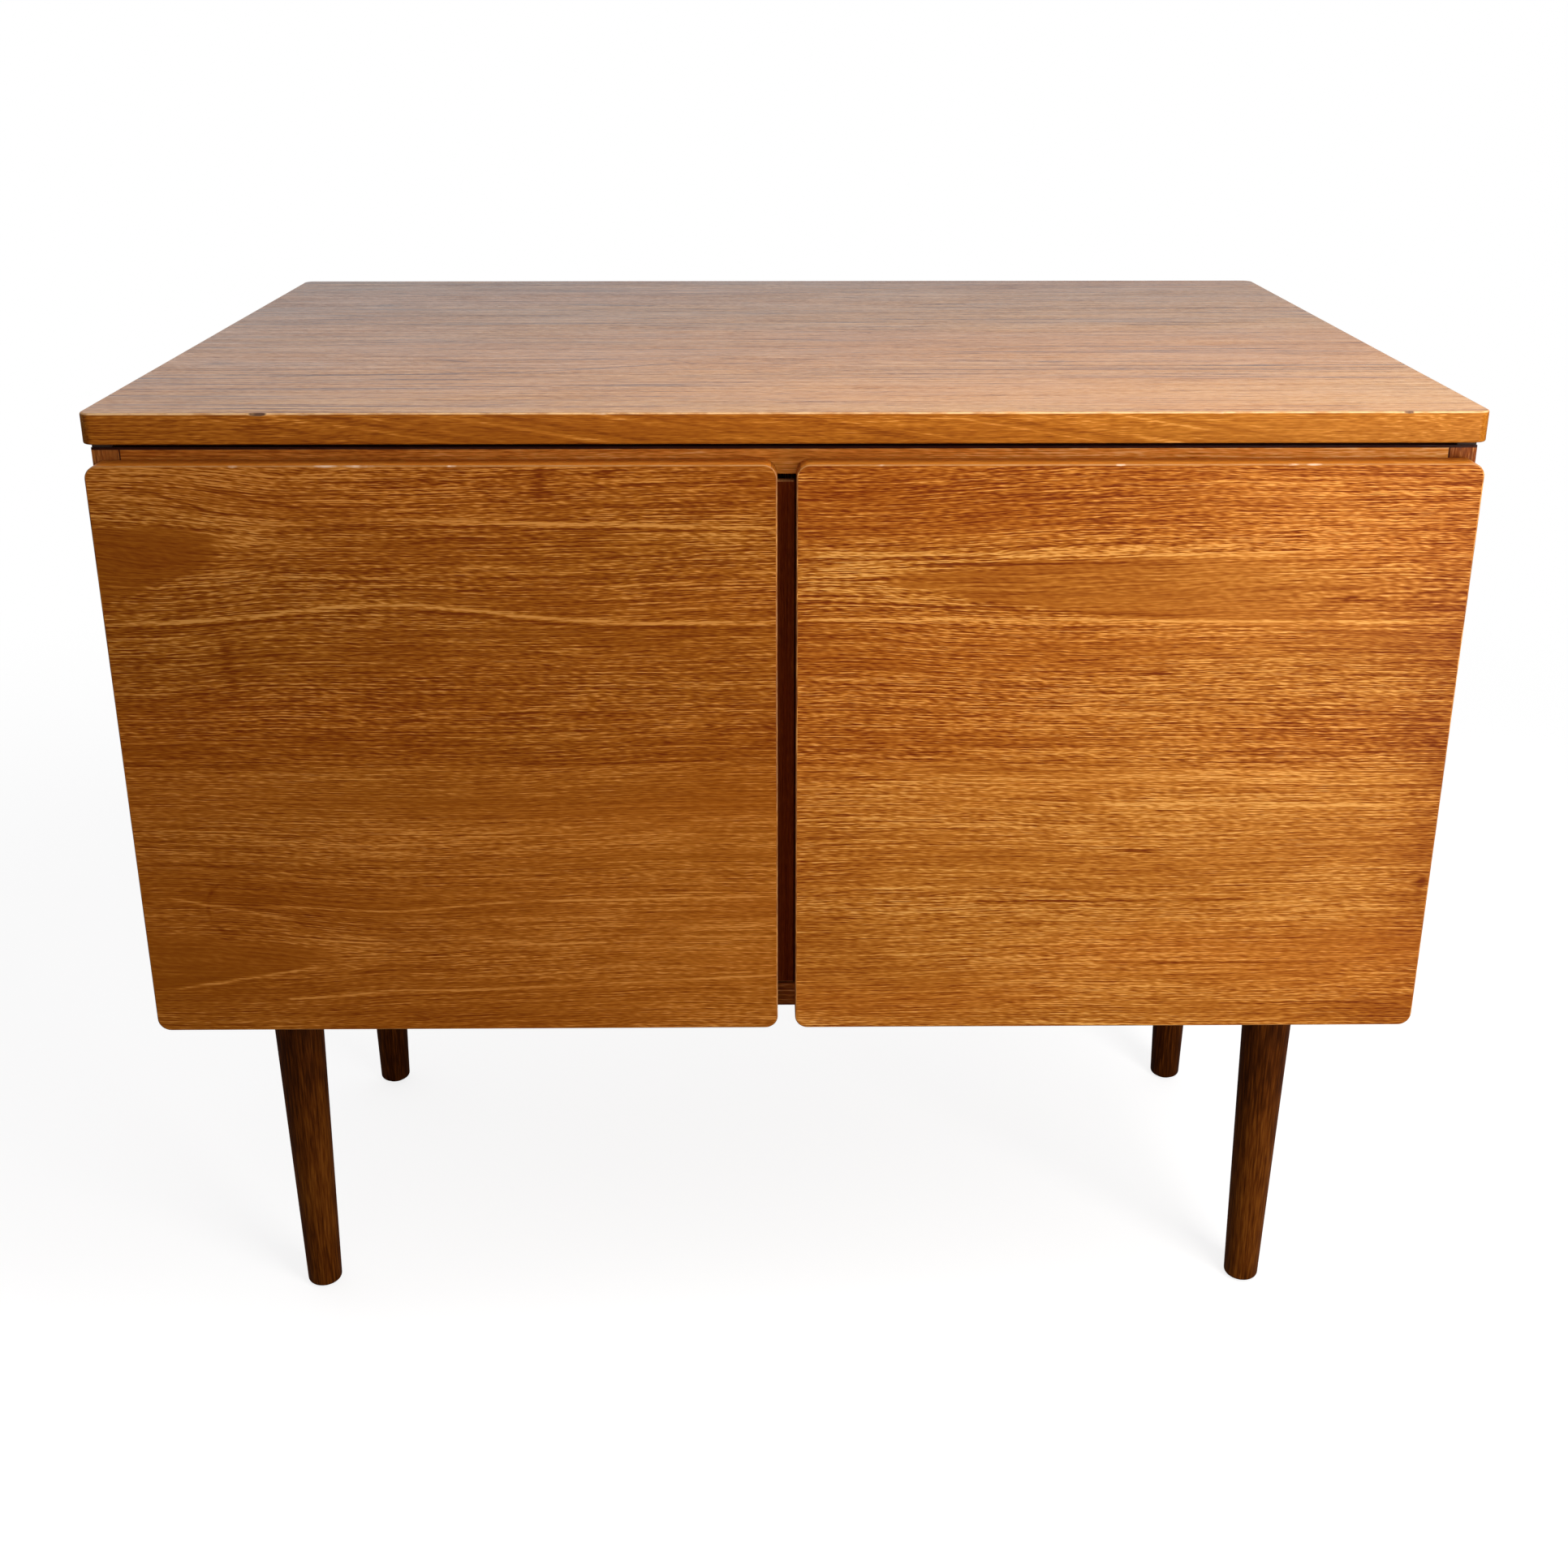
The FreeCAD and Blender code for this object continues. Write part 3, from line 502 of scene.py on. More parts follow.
def board(name, low, high, face, corner, arris, materials, seed, nicks=(), housings=(), hinge_side=0):
    """A flat board: a profile carried round its outline.

    The outline is a rounded rectangle in the plane of the board's faces: a point of it is c + (R - a) n,
    with c on the rectangle inset by R and n the outward normal. The profile goes from the front face
    round an arris, down the edge and round the other arris: a = r (1 - sin w), d = r (1 - cos w).
    r varies slowly along the edge and grows at each nick, which has a place, a width, a depth and a
    tint, 1 for dirty and -1 for bare wood. Where a hinge is housed, the rear arris gives way to a hollow
    quarter round about the hinge's axis: a = q sin w, d = T + off - q cos w. The materials are those of
    the faces, of the edges along the first axis and of the edges along the second.
    """
    p, q = [axis for axis in (X, Y, Z) if axis != face]
    ends = np.array([low[p], low[q]]) + corner, np.array([high[p], high[q]]) - corner
    thickness = high[face] - low[face]
    corners = [np.array([ends[right][0], ends[top][1]]) for right, top in ((1, 0), (1, 1), (0, 1), (0, 0))]
    centres, normals, hollow = [], [], []
    for number, centre in enumerate(corners):
        angle = np.radians(np.linspace(90 * number - 90, 90 * number, 9))
        centres.append(np.repeat(centre[None], 9, 0))
        normals.append(np.stack([np.cos(angle), np.sin(angle)], -1))
        hollow.append(np.zeros(9, bool))
        end = corners[(number + 1) % 4]
        length = np.linalg.norm(end - centre)
        stations = np.linspace(0, 1, max(int(length / STATION_GAP), 2) + 1)[1:-1] * length
        marks = np.zeros(len(stations), bool)
        side = {0: 1, 2: -1}.get(number, 0)
        if side == hinge_side and housings:
            for housing in housings:
                first, last = sorted(abs(level - centre[1]) for level in housing)
                keep = (stations < first - 1e-4) | (stations > last + 1e-4)
                stations = np.concatenate([stations[keep], [first - 1e-5, first, last, last + 1e-5]])
                marks = np.concatenate([marks[keep], [False, True, True, False]])
            order = np.argsort(stations)
            stations, marks = stations[order], marks[order]
        centres.append(centre + stations[:, None] * ((end - centre) / length))
        normals.append(np.repeat(normals[-1][-1:], len(stations), 0))
        hollow.append(marks)
    centres, normals, hollow = (np.concatenate(part) for part in (centres, normals, hollow))
    outline = centres + corner * normals
    gaps = np.linalg.norm(np.roll(outline, -1, 0) - outline, axis=1)
    travel = np.concatenate([[0], np.cumsum(gaps)[:-1]])
    random = np.random.default_rng(seed)
    waves = np.zeros(len(outline))
    for ripples in RIPPLES:
        strength = random.uniform(0.4, 1.0) / ripples ** 0.5
        shift = random.uniform(0, 6.3)
        waves += strength * np.sin(2 * np.pi * ripples * travel / gaps.sum() + shift)
    radius = arris * (1 + WEAR * np.clip(waves / 2, -1, 1))
    chipped = np.zeros(len(outline))
    stain = np.zeros(len(outline))
    for place, reach, bite, tint in nicks:
        here = np.exp(-(np.linalg.norm(outline - place, axis=1) / reach) ** 4)
        chipped += bite * here * (0.75 + 0.25 * np.sin(travel * 2600))
        stain += tint * here
    front_radius, rear_radius = (radius + chipped)[:, None], radius[:, None]
    w = np.linspace(0, np.pi / 2, 6)[None, :]
    rear_w = w[:, ::-1]
    sweep = np.linspace(0, math.acos(AXIS_BEHIND / HOLLOW_RADIUS), 6)[None, :]
    hollow_depth = thickness + AXIS_BEHIND - HOLLOW_RADIUS * np.cos(sweep)
    rear_inset = np.where(hollow[:, None], HOLLOW_RADIUS * np.sin(sweep), rear_radius * (1 - np.sin(rear_w)))
    rear_depth = np.where(hollow[:, None], hollow_depth, thickness - rear_radius * (1 - np.cos(rear_w)))
    inset = np.concatenate([front_radius * (1 - np.sin(w)), rear_inset], 1)
    depth = np.concatenate([front_radius * (1 - np.cos(w)), rear_depth], 1)
    flat = centres[:, None, :] + (corner - inset)[..., None] * normals[:, None, :]
    points = np.zeros((*inset.shape, 3))
    points[..., p], points[..., q] = flat[..., 0], flat[..., 1]
    points[..., face] = low[face] + depth if face == Y else high[face] - depth
    count, width = inset.shape
    index = np.arange(count * width).reshape(count, width)
    after = np.roll(index, -1, 0)
    quads = np.stack([index[:, :-1], index[:, 1:], after[:, 1:], after[:, :-1]], -1).reshape(-1, 4)
    caps = [index[:, 0].tolist(), index[::-1, -1].tolist()]
    if face == Y:
        quads = quads[:, ::-1]
        caps = [cap[::-1] for cap in caps]
    faces = [tuple(quad) for quad in quads.tolist()] + [tuple(cap) for cap in caps]
    edge_kind = (np.abs(normals[:, 0]) > 0.7).astype(int) + 1
    slots = np.repeat(edge_kind, width - 1).tolist() + [0, 0]
    by_hollow = np.repeat(hollow | np.roll(hollow, -1), width - 1)
    smooth = np.concatenate([~by_hollow, [False, False]])
    piece = add_piece(name, points.reshape(-1, 3), faces, smooth, materials, slots)
    # Painted highlight and wear: the front arris is marked here so that it is painted paler.
    rub = np.zeros((count, width))
    rub[:, :6] = np.sin(2 * w)
    worn = np.zeros((count, width))
    worn[:, 1:5] = stain[:, None]
    for mark, values in (("rub", rub), ("worn", worn)):
        piece.data.attributes.new(mark, "FLOAT", "POINT").data.foreach_set("value", values.ravel())
    return piece


def worn_edges_and_painted_highlight(material, pale, bare, dark, amount=0.75):
    """Paler arris, by amount: partly where the finish is rubbed off, partly a painted highlight; nicks are
    bare or dark with dirt.
    """
    shader, base = base_of(material)
    position = base.get("ShaderNodeTexCoord", {}, {}, "Object")
    patch = base.get("ShaderNodeTexNoise", {}, {"Vector": position, "Scale": 90.0, "Detail": 3.0})
    rub = base.get("ShaderNodeAttribute", {"attribute_name": "rub"}, {}, "Fac")
    worn = base.get("ShaderNodeAttribute", {"attribute_name": "worn"}, {}, "Fac")
    broken = patch.ease(0.34, 0.6)
    shown = (rub * (0.45 + broken * 0.55) * amount).blend(base, (*pale, 1))
    shown = (worn.ease(0.2, 0.6) * (0.35 + broken * 0.65)).blend(shown, (*dark, 1))
    shown = ((0 - worn).ease(0.2, 0.6) * broken).blend(shown, (*bare, 1))
    shown.into(shader, "Base Color")


SLAB_TONES = wood_tones((88, 46, 18), (138, 84, 36), (182, 122, 58), (202, 144, 76), (222, 166, 100))
LIPPING_TONES = wood_tones((132, 66, 7), (152, 82, 13), (173, 101, 23), (197, 123, 40), (224, 152, 70))
# The pale edge tone is partly rubbed finish and partly a painted highlight; the bare and dark ones are wear
# and dirt.
EDGE_HIGHLIGHT_WEAR_AND_DIRT_TONES = colour(244, 198, 142), colour(228, 190, 158), colour(98, 68, 52)


def lines_of_figure(lines, spots):
    """Single lines and spots of a veneer's figure; on the doors some broad spots are painted light and
    painted shade instead.

    A line runs from one place along the grain to another. Its distance across the grain is
    level + slope (u - start) + rise exp(-((u - top) / reach)^2), its tone exp(-(off / width)^2), broken
    up by noise. A spot is a soft ellipse, exp(-((u / long)^2 + (v / wide)^2)).
    """
    def tone(u, v, w):
        total = 0
        for start, end, level, slope, rise, top, reach, width, depth in lines:
            curve = (u - start) * slope + level
            if rise:
                away = (u - top) / reach
                curve = curve + (0 - away * away).math("EXPONENT") * rise
            off = (v - curve) / width
            here = u.ease(start, start + 0.02) * u.ease(end, end - 0.02)
            ragged = u.noise(u * 30 + level * 900, v * 500, w, 1.0).ease(0.30, 0.55)
            total = (0 - off * off).math("EXPONENT") * here * (0.5 + ragged * 0.5) * depth + total
        for at_u, at_v, long, wide, depth in spots:
            near = ((u - at_u) * (u - at_u)) / long ** 2 + ((v - at_v) * (v - at_v)) / wide ** 2
            total = (0 - near).math("EXPONENT") * depth + total
        return total
    return tone


slab_figure = lines_of_figure(
    [(-0.330, -0.060, -0.1655, 0.07, 0.026, -0.055, 0.075, 0.0016, -0.55),
     (-0.236, -0.196, -0.1000, -0.46, 0, 0, 1, 0.0022, -0.60),
     (-0.174, -0.085, 0.1440, -0.12, 0, 0, 1, 0.0026, -0.60),
     (-0.080, -0.050, -0.1000, -1.00, 0, 0, 1, 0.0022, -0.40),
     (0.100, 0.390, -0.0780, 0.01, 0, 0, 1, 0.0020, -0.40),
     (0.000, 0.395, -0.1450, 0.00, 0, 0, 1, 0.0016, -0.35),
     (0.060, 0.330, 0.0650, 0.00, 0, 0, 1, 0.0020, -0.40)],
    [(-0.306, 0.137, 0.008, 0.006, -0.4), (0.309, -0.130, 0.030, 0.003, -0.45),
     (0.175, -0.117, 0.010, 0.004, -0.3), (0.1405, 0.141, 0.040, 0.004, -0.35),
     (-0.364, -0.119, 0.012, 0.005, -0.25)])


def slab_lines_and_painted_light(u, v, w):
    """Fine dark lines, a few millimetres apart, that waver by a millimetre or two.

    They crowd in some places and are thin in others. Towards the right and the front the top is
    painted lighter, as painted light.
    """
    crowd = u.noise(u * 1.6, v * 16, 4.0, 2.0).ease(0.30, 0.66)
    bent = v + (u.noise(u * 7, v * 25, 6.0, 1.0) - 0.5) * 0.0035
    broad = u.noise(u * 2.2 + 3, bent * 190, 5.0, 2.0).ease(0.55, 0.68)
    fine = u.noise(u * 8.0 + bent * 60, bent * 430, 9.0, 1.0).ease(0.52, 0.70)
    dashes = u.noise(u * 60 + bent * 240, bent * 1300, 2.0, 0.0).ease(0.60, 0.74)
    lines = (broad * 0.26 + fine * 0.40) * (0.30 + crowd) + dashes * 0.34
    return slab_figure(u, v, w) - lines + u * 0.22 - v * 0.7 + 0.03


slab_top = teak("slab_veneer_painted_light", X, Y, SLAB_TONES, 71.5, streak=0.60, bands=0.45, rough=0.36, gloss=0.40,
                wander=0.006, extra=slab_lines_and_painted_light, relief=0.10)


def lipping_flow_and_painted_light(u, v, w):
    """Slanting pale and dark lines where the solid lipping was sawn across the growth rings, and painted
    light towards the right.
    """
    slant = (w + u * 0.17) * 300
    lines = u.noise(slant, u * 5, v * 10, 1.0)
    here = u.ease(-0.37, -0.30) * u.ease(0.36, 0.20)
    return (lines.ease(0.58, 0.72) * 0.30 - lines.ease(0.42, 0.28) * 0.20) * here + u * 0.38 - 0.02


slab_front = teak("slab_lipping_long_painted_light", X, Y, LIPPING_TONES, 81.3, streak=0.55, bands=0.9, wander=0.05,
                  extra=lipping_flow_and_painted_light)
slab_side = teak("slab_lipping_short", Y, X, LIPPING_TONES, 87.9, streak=0.55, bands=0.9)
# The slab's front arris line is painted paler: partly wear, partly a painted highlight.
worn_edges_and_painted_highlight(slab_front, *EDGE_HIGHLIGHT_WEAR_AND_DIRT_TONES, amount=1.1)
worn_edges_and_painted_highlight(slab_side, *EDGE_HIGHLIGHT_WEAR_AND_DIRT_TONES)
slab_low, slab_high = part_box("top_slab")
slab_nicks = [((-0.298, -0.280), 0.0050, 0.0008, 1), ((-0.2716, -0.280), 0.0016, 0.0006, -1),
              ((-0.105, -0.280), 0.0030, 0.0003, -1), ((0.245, -0.280), 0.0025, 0.0004, -1),
              ((0.352, -0.280), 0.0030, 0.0004, 1)]
slab = board("slab_board", slab_low, slab_high, Z, 0.0075, 0.0011, [slab_top, slab_front, slab_side],
             seed=5, nicks=slab_nicks)
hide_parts("top_slab")
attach(slab, "carcass")


# Gap strips. A dark stained strip 11 mm wide is pinned along each side batten:
# a painted shadow, so that no light shows between the slab and the side panel.
STRIP_INNER, STRIP_OUTER = 0.3882, 0.3997
STRIP_FRONT, STRIP_BACK = -0.2625, 0.272
for side, outward in (("left", -1), ("right", 1)):
    side_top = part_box(f"side_panel_{side}")[1][Z]
    edges = sorted((outward * STRIP_INNER, outward * STRIP_OUTER))
    painted_shadow_strip = board(f"painted_shadow_strip_{side}", (edges[0], STRIP_FRONT, side_top),
                      (edges[1], STRIP_BACK, slab_low[Z]), Z, 0.0006, 0.0003, [batten_and_painted_shadow_material] * 3, seed=3)
    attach(painted_shadow_strip, "carcass")


# Doors. Teak veneered boards with thin solid lippings and rounded corners, hung
# over the carcass front, each on two butt hinges let into its outer edge.
FLAMES = {"left": [dict(tip=(-0.318, 0.6205), way=1, length=0.085, half=0.026, slope=-0.117, fade=0.5),
                   dict(tip=(-0.272, 0.3555), way=1, length=0.11, half=0.019, slope=-0.03, fade=0.5)],
          "right": [dict(tip=(0.048, 0.5995), way=-1, length=0.16, half=0.019, slope=-0.032, fade=0.34)]}
LOWER_LEAF_QUIET = {"left": 0.35, "right": 0.25}


def flame_place(u, v, flame):
    """The distance behind a flame's tip and off its slanting middle line."""
    behind = (flame["tip"][0] - u) * flame["way"]
    return behind, v - flame["tip"][1] - behind * flame["slope"]


def flames(shapes, quiet):
    """Masks of flame figures, parabolas with a given tip, length and half width, of their light rims, and
    of the lower leaf of veneer, whose fibres are weaker by the share quiet.

    e is the distance behind the tip over the length, d the distance off the middle line over the half
    width; the inside is where e - d d is above 0, with its edge broken by noise, and the rim is just
    outside it. A flame dies out towards the distance fade behind its tip.
    """
    def masks(u, v, w):
        inside, rim = 0, 0
        for flame in shapes:
            behind, off = flame_place(u, v, flame)
            ragged = (u.noise(u * 16, v * 420, w, 3.0, 0.7) - 0.5) * 1.5
            depth = behind / flame["length"] - off * off / flame["half"] ** 2
            depth = depth + ragged * behind.ease(-0.03, 0.08)
            filled = depth.ease(0.0, 0.2)
            inside = inside + filled * (1 - behind.ease(flame["fade"] * 0.5, flame["fade"]))
            edge = depth.ease(-0.75, -0.15) * (1 - filled)
            rim = rim + edge * behind.ease(-0.05, -0.01) * behind.ease(0.05, 0.01)
        return inside, rim, v.ease(0.490, 0.478) * quiet
    return masks


def flow_round(shapes):
    """The distance across the grain with the lines pushed aside by flames.

    A line at a distance off the middle is moved by h off / (|off| + h), where h is the flame's half
    width there; the push fades with exp(-(off / 3 half width)^2).
    """
    def bend(u, v, w):
        bent = v
        for flame in shapes:
            behind, off = flame_place(u, v, flame)
            width = behind.ease(-0.03, flame["length"]) * flame["half"]
            near = (0 - off * off / (3 * flame["half"]) ** 2).math("EXPONENT")
            bent = bent - off * width * near * 0.7 / (off.math("ABSOLUTE") + width + 0.002)
        return bent
    return bend


def leaf_seam(u, v, w):
    """Where the upper and the lower leaf of veneer meet: a dark line, and lighter wood below it."""
    off = (v - 0.4842) / 0.0006
    line = (0 - off * off).math("EXPONENT") * u.noise(u * 9, 3.0, 5.0, 1.0).ease(0.4, 0.6)
    return line * -0.3 + v.ease(0.4846, 0.4838) * 0.07


# The left door's tones are darker than the right's: partly the veneer's own tone and partly painted shade, as
# the light falls from the right.
DOOR_TONES = {
    "left": wood_tones((115, 48, 0), (131, 63, 4), (156, 87, 15), (188, 116, 39), (217, 148, 70)),
    "right": wood_tones((118, 47, 2), (143, 70, 7), (176, 102, 28), (209, 135, 53), (236, 168, 86))}
# The left door's broad spots at the top left and the lower right are painted light; its other lines and spots
# are figure.
left_figure_and_painted_light = lines_of_figure(
    [(-0.399, 0.000, 0.5735, 0.000, 0.0115, -0.235, 0.085, 0.0013, 0.60),
     (-0.399, 0.000, 0.5705, 0.000, 0.0115, -0.235, 0.085, 0.0012, -0.30),
     (-0.240, 0.000, 0.6360, -0.022, 0, 0, 1, 0.0011, 0.55),
     (-0.270, 0.000, 0.6335, -0.020, 0, 0, 1, 0.0009, -0.30),
     (-0.376, -0.312, 0.6565, -0.33, 0, 0, 1, 0.0011, -0.40),
     (-0.345, -0.262, 0.6565, -0.21, 0, 0, 1, 0.0010, -0.35),
     (-0.330, 0.000, 0.3895, 0.018, -0.005, -0.245, 0.05, 0.0008, 0.40),
     (-0.325, 0.000, 0.3240, 0.050, 0.002, -0.245, 0.03, 0.0009, 0.40),
     (-0.390, -0.300, 0.3970, -0.20, 0, 0, 1, 0.0010, 0.35),
     (-0.395, -0.285, 0.3300, 0.17, 0, 0, 1, 0.0010, 0.35),
     (-0.200, -0.110, 0.3640, 0.00, 0, 0, 1, 0.0020, 0.25),
     (-0.080, 0.000, 0.3720, 0.05, 0, 0, 1, 0.0015, 0.25)],
    [(-0.330, 0.665, 0.090, 0.025, 0.20), (-0.3305, 0.548, 0.0035, 0.022, -0.22),
     (-0.141, 0.655, 0.004, 0.012, -0.35), (-0.117, 0.627, 0.012, 0.008, -0.18),
     (-0.335, 0.400, 0.030, 0.020, -0.08), (-0.050, 0.360, 0.110, 0.070, 0.12),
     (-0.260, 0.600, 0.080, 0.018, -0.09), (-0.262, 0.531, 0.080, 0.014, -0.09),
     (-0.090, 0.441, 0.120, 0.014, 0.11), (-0.275, 0.409, 0.060, 0.014, -0.08)])
# Of the right door's spots, the broad ones across the upper middle and the middle are painted light, and
# those along the top and down the left and right edges painted shade; the rest are figure.
right_figure_and_painted_light = lines_of_figure(
    [(0.005, 0.300, 0.6145, 0.000, 0, 0, 1, 0.0012, 0.40),
     (0.005, 0.400, 0.5760, -0.008, 0, 0, 1, 0.0012, 0.45),
     (0.060, 0.240, 0.6090, 0.002, 0, 0, 1, 0.0009, -0.30),
     (0.060, 0.240, 0.5840, -0.040, 0, 0, 1, 0.0010, -0.25),
     (0.110, 0.300, 0.3905, 0.010, 0, 0, 1, 0.0008, -0.50),
     (0.190, 0.350, 0.3475, 0.000, 0, 0, 1, 0.0008, -0.40),
     (0.190, 0.400, 0.4560, 0.000, 0, 0, 1, 0.0020, 0.25),
     (0.080, 0.400, 0.4740, 0.000, 0, 0, 1, 0.0030, 0.20)],
    [(0.130, 0.665, 0.220, 0.035, -0.12), (0.2224, 0.5413, 0.008, 0.0008, -0.9),
     (0.2158, 0.4256, 0.012, 0.0008, -0.8), (0.3304, 0.5281, 0.004, 0.0012, -0.5),
     (0.3950, 0.4035, 0.003, 0.004, -0.5), (0.290, 0.655, 0.065, 0.014, 0.13),
     (0.290, 0.597, 0.070, 0.045, 0.15), (0.225, 0.480, 0.080, 0.080, 0.04),
     (0.270, 0.349, 0.080, 0.012, 0.10), (0.380, 0.312, 0.050, 0.014, -0.18),
     (0.400, 0.480, 0.026, 0.160, -0.18), (0.005, 0.600, 0.060, 0.060, -0.11),
     (0.005, 0.400, 0.060, 0.050, -0.10)])


def front_leaf(w):
    """1 on a door's front veneer and 0 on its back, which is plain."""
    return w.ease(-0.269, -0.275)


def left_door_figure_and_painted_light(u, v, w):
    """The left door's lines and spots, some of them painted light, its seam, and a faint ring that a wet pot
    left: |r - 19 mm| under 2 mm.
    """
    off_u, off_v = u + 0.3405, v - 0.3885
    ring = ((off_u * off_u + off_v * off_v).math("SQRT") - 0.019).math("ABSOLUTE").ease(0.0022, 0.0002)
    part = u.ease(-0.338, -0.352) * u.noise(u * 140, v * 140, w, 2.0).ease(0.35, 0.65)
    return (left_figure_and_painted_light(u, v, w) + leaf_seam(u, v, w) - ring * part * 0.22) * front_leaf(w)


def right_door_figure_and_painted_light(u, v, w):
    """The right door's lines and spots, some of them painted light and shade, and its seam."""
    return (right_figure_and_painted_light(u, v, w) + leaf_seam(u, v, w)) * front_leaf(w)


# Painted light: the doors' top and bottom lippings take a lighter copy of the door wood, for light that the
# slab's overhang keeps off the top edges.
TOP_EDGE_TONES_PAINTED_LIGHT = wood_tones((170, 88, 16), (192, 110, 27), (222, 138, 47), (238, 170, 76), (246, 196, 120))
ARRIS_BROWN = colour(166, 98, 30)
NICK_LEVEL = 0.668
DOOR_NICKS = {"left": [(-0.3146, 0.0028, 0.0006, -1), (-0.2620, 0.0060, 0.0004, -1),
                       (-0.2430, 0.0080, 0.0004, -1), (-0.1905, 0.0020, 0.0003, -1)],
              "right": [(0.2875, 0.0040, 0.0005, -1), (0.3015, 0.0030, 0.0005, -1),
                        (0.1900, 0.0025, 0.0003, -1), (0.0520, 0.0020, 0.0003, -1)]}
HOUSING_PLAY = 0.0004


def front_arris(x, y, z):
    """1 on the front arris of a door."""
    return y.ease(-0.2788, -0.2792)


for side, outward, seed, figure in (("left", -1, 101, left_door_figure_and_painted_light),
                                    ("right", 1, 137, right_door_figure_and_painted_light)):
    tones = DOOR_TONES[side]
    masks = flames(FLAMES[side], LOWER_LEAF_QUIET[side])
    face_teak = teak(f"door_veneer_with_painted_light_{side}", X, Z, tones, seed, calm=masks, bend=flow_round(FLAMES[side]),
                     extra=figure)
    level_lip_painted_light = teak(f"door_lipping_level_painted_light_{side}", X, Y, TOP_EDGE_TONES_PAINTED_LIGHT, seed + 7, streak=0.6)
    upright_lip = teak(f"door_lipping_upright_{side}", Z, Y, tones, seed + 13)
    overlay(level_lip_painted_light, ARRIS_BROWN, front_arris)
    # The doors' arris lines are painted paler: partly wear, partly a painted highlight.
    worn_edges_and_painted_highlight(level_lip_painted_light, *EDGE_HIGHLIGHT_WEAR_AND_DIRT_TONES, amount=0.3)
    worn_edges_and_painted_highlight(upright_lip, *EDGE_HIGHLIGHT_WEAR_AND_DIRT_TONES, amount=0.3)
    door_low, door_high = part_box(f"door_{side}")
    housings = []
    for level in ("lower", "upper"):
        leaf_low, leaf_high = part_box(f"hinge_{side}_{level}_door_leaf")
        housings.append((leaf_low[Z] - HOUSING_PLAY, leaf_high[Z] + HOUSING_PLAY))
    nicks = [((x, NICK_LEVEL), *nick) for x, *nick in DOOR_NICKS[side]]
    door = board(f"door_board_{side}", door_low, door_high, Y, 0.008, 0.0009,
                 [face_teak, level_lip_painted_light, upright_lip], seed, nicks, housings, hinge_side=outward)
    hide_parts(f"door_{side}")
    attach(door, f"{side}_door")


# Cover strip. A dark stained strip on the back of the left door fills the finger
# gap from behind and stops just short of the right door, so each opens alone.
COVER_TONES = wood_tones((86, 30, 3), (100, 38, 5), (116, 50, 8), (131, 62, 11), (152, 81, 19))
COVER_EDGE = 0.0049
COVER_DROP = 0.001
strip_teak = teak("strip_teak", Z, X, COVER_TONES, 151.0, streak=0.5, bands=0.4, rough=0.55, gloss=0.05)
strip_low, strip_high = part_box("gap_cover_strip")
strip_high = (COVER_EDGE, strip_high[Y], strip_high[Z] - COVER_DROP)
# The strip's top and bottom ends take the pale plywood: bare end wood, and along the top partly a painted
# glint.
strip = board("cover_strip", strip_low, strip_high, Y, 0.001, 0.0006, [strip_teak, divider_ply, strip_teak],
              seed=9)
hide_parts("gap_cover_strip")
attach(strip, "left_door")

# Hinges. Drawn brass butts, let in flush: leaves with slotted countersunk
# screws and a fixed pin whose rounded ends show above and below the knuckles.
HINGE_X, HINGE_Y = 0.4, -0.2635
SCREW_INSET = 0.00775
SCREW_GAP = 0.018
HALF_LEAF_GAP = 0.0001
PIN_HALF = 0.025
FORWARD = (0, -1, 0)
for side, outward in (("left", -1), ("right", 1)):
    fixed_screws, door_screws, pin_ends = [], [], []
    screw_x = outward * HINGE_X - outward * SCREW_INSET
    for level in ("lower", "upper"):
        for part in ("fixed_leaf", "door_leaf", "pin"):
            dress(f"hinge_{side}_{level}_{part}", brass)
        leaf_low, leaf_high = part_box(f"hinge_{side}_{level}_fixed_leaf")
        middle = (leaf_low[Z] + leaf_high[Z]) / 2
        for step in (-1, 0, 1):
            turn = 0.7 + 0.9 * step + (0.4 if level == "upper" else 0)
            height = middle + SCREW_GAP * step
            fixed_screws.append(((screw_x, HINGE_Y + HALF_LEAF_GAP, height), FORWARD, turn))
            door_screws.append(((screw_x, HINGE_Y - HALF_LEAF_GAP, height), BACKWARD, turn + 1.3))
        for end in (-1, 1):
            pin_ends.append(((outward * HINGE_X, HINGE_Y, middle + end * PIN_HALF), (0, 0, end), 0.0))
    for name, places, radius, rise, slot, body in (
            ("leaf_screws", fixed_screws, 0.0026, 0.00008, 0.16, "carcass"),
            ("door_leaf_screws", door_screws, 0.0026, 0.00008, 0.16, f"{side}_door"),
            ("pin_ends", pin_ends, 0.0019, 0.00035, 0.0, "carcass")):
        piece = heads(f"hinge_{name}_{side}", places, radius, rise, slot, [brass, slot_shadow])
        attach(piece, body)


# Catches and buffers. A brown moulded case with its magnet is screwed under the
# top panel by two ears, a zinc plate on the door meets it, and soft buffers
# stop the door.
def plain(name, base, rough, grain, gloss=0.4):
    """A moulded or pressed surface: one colour with fine unevenness in tone and relief."""
    material, shader, (x, y, z) = new_material(name)
    speck = x.noise(x * grain, y * grain, z * grain, 3.0)
    darker = tuple(part * 0.7 for part in base)
    speck.blend((*darker, 1), (*base, 1)).into(shader, "Base Color")
    speck.press(shader, 0.3, 0.0003)
    shader.inputs["Roughness"].default_value = rough
    shader.inputs["Specular IOR Level"].default_value = gloss
    return material


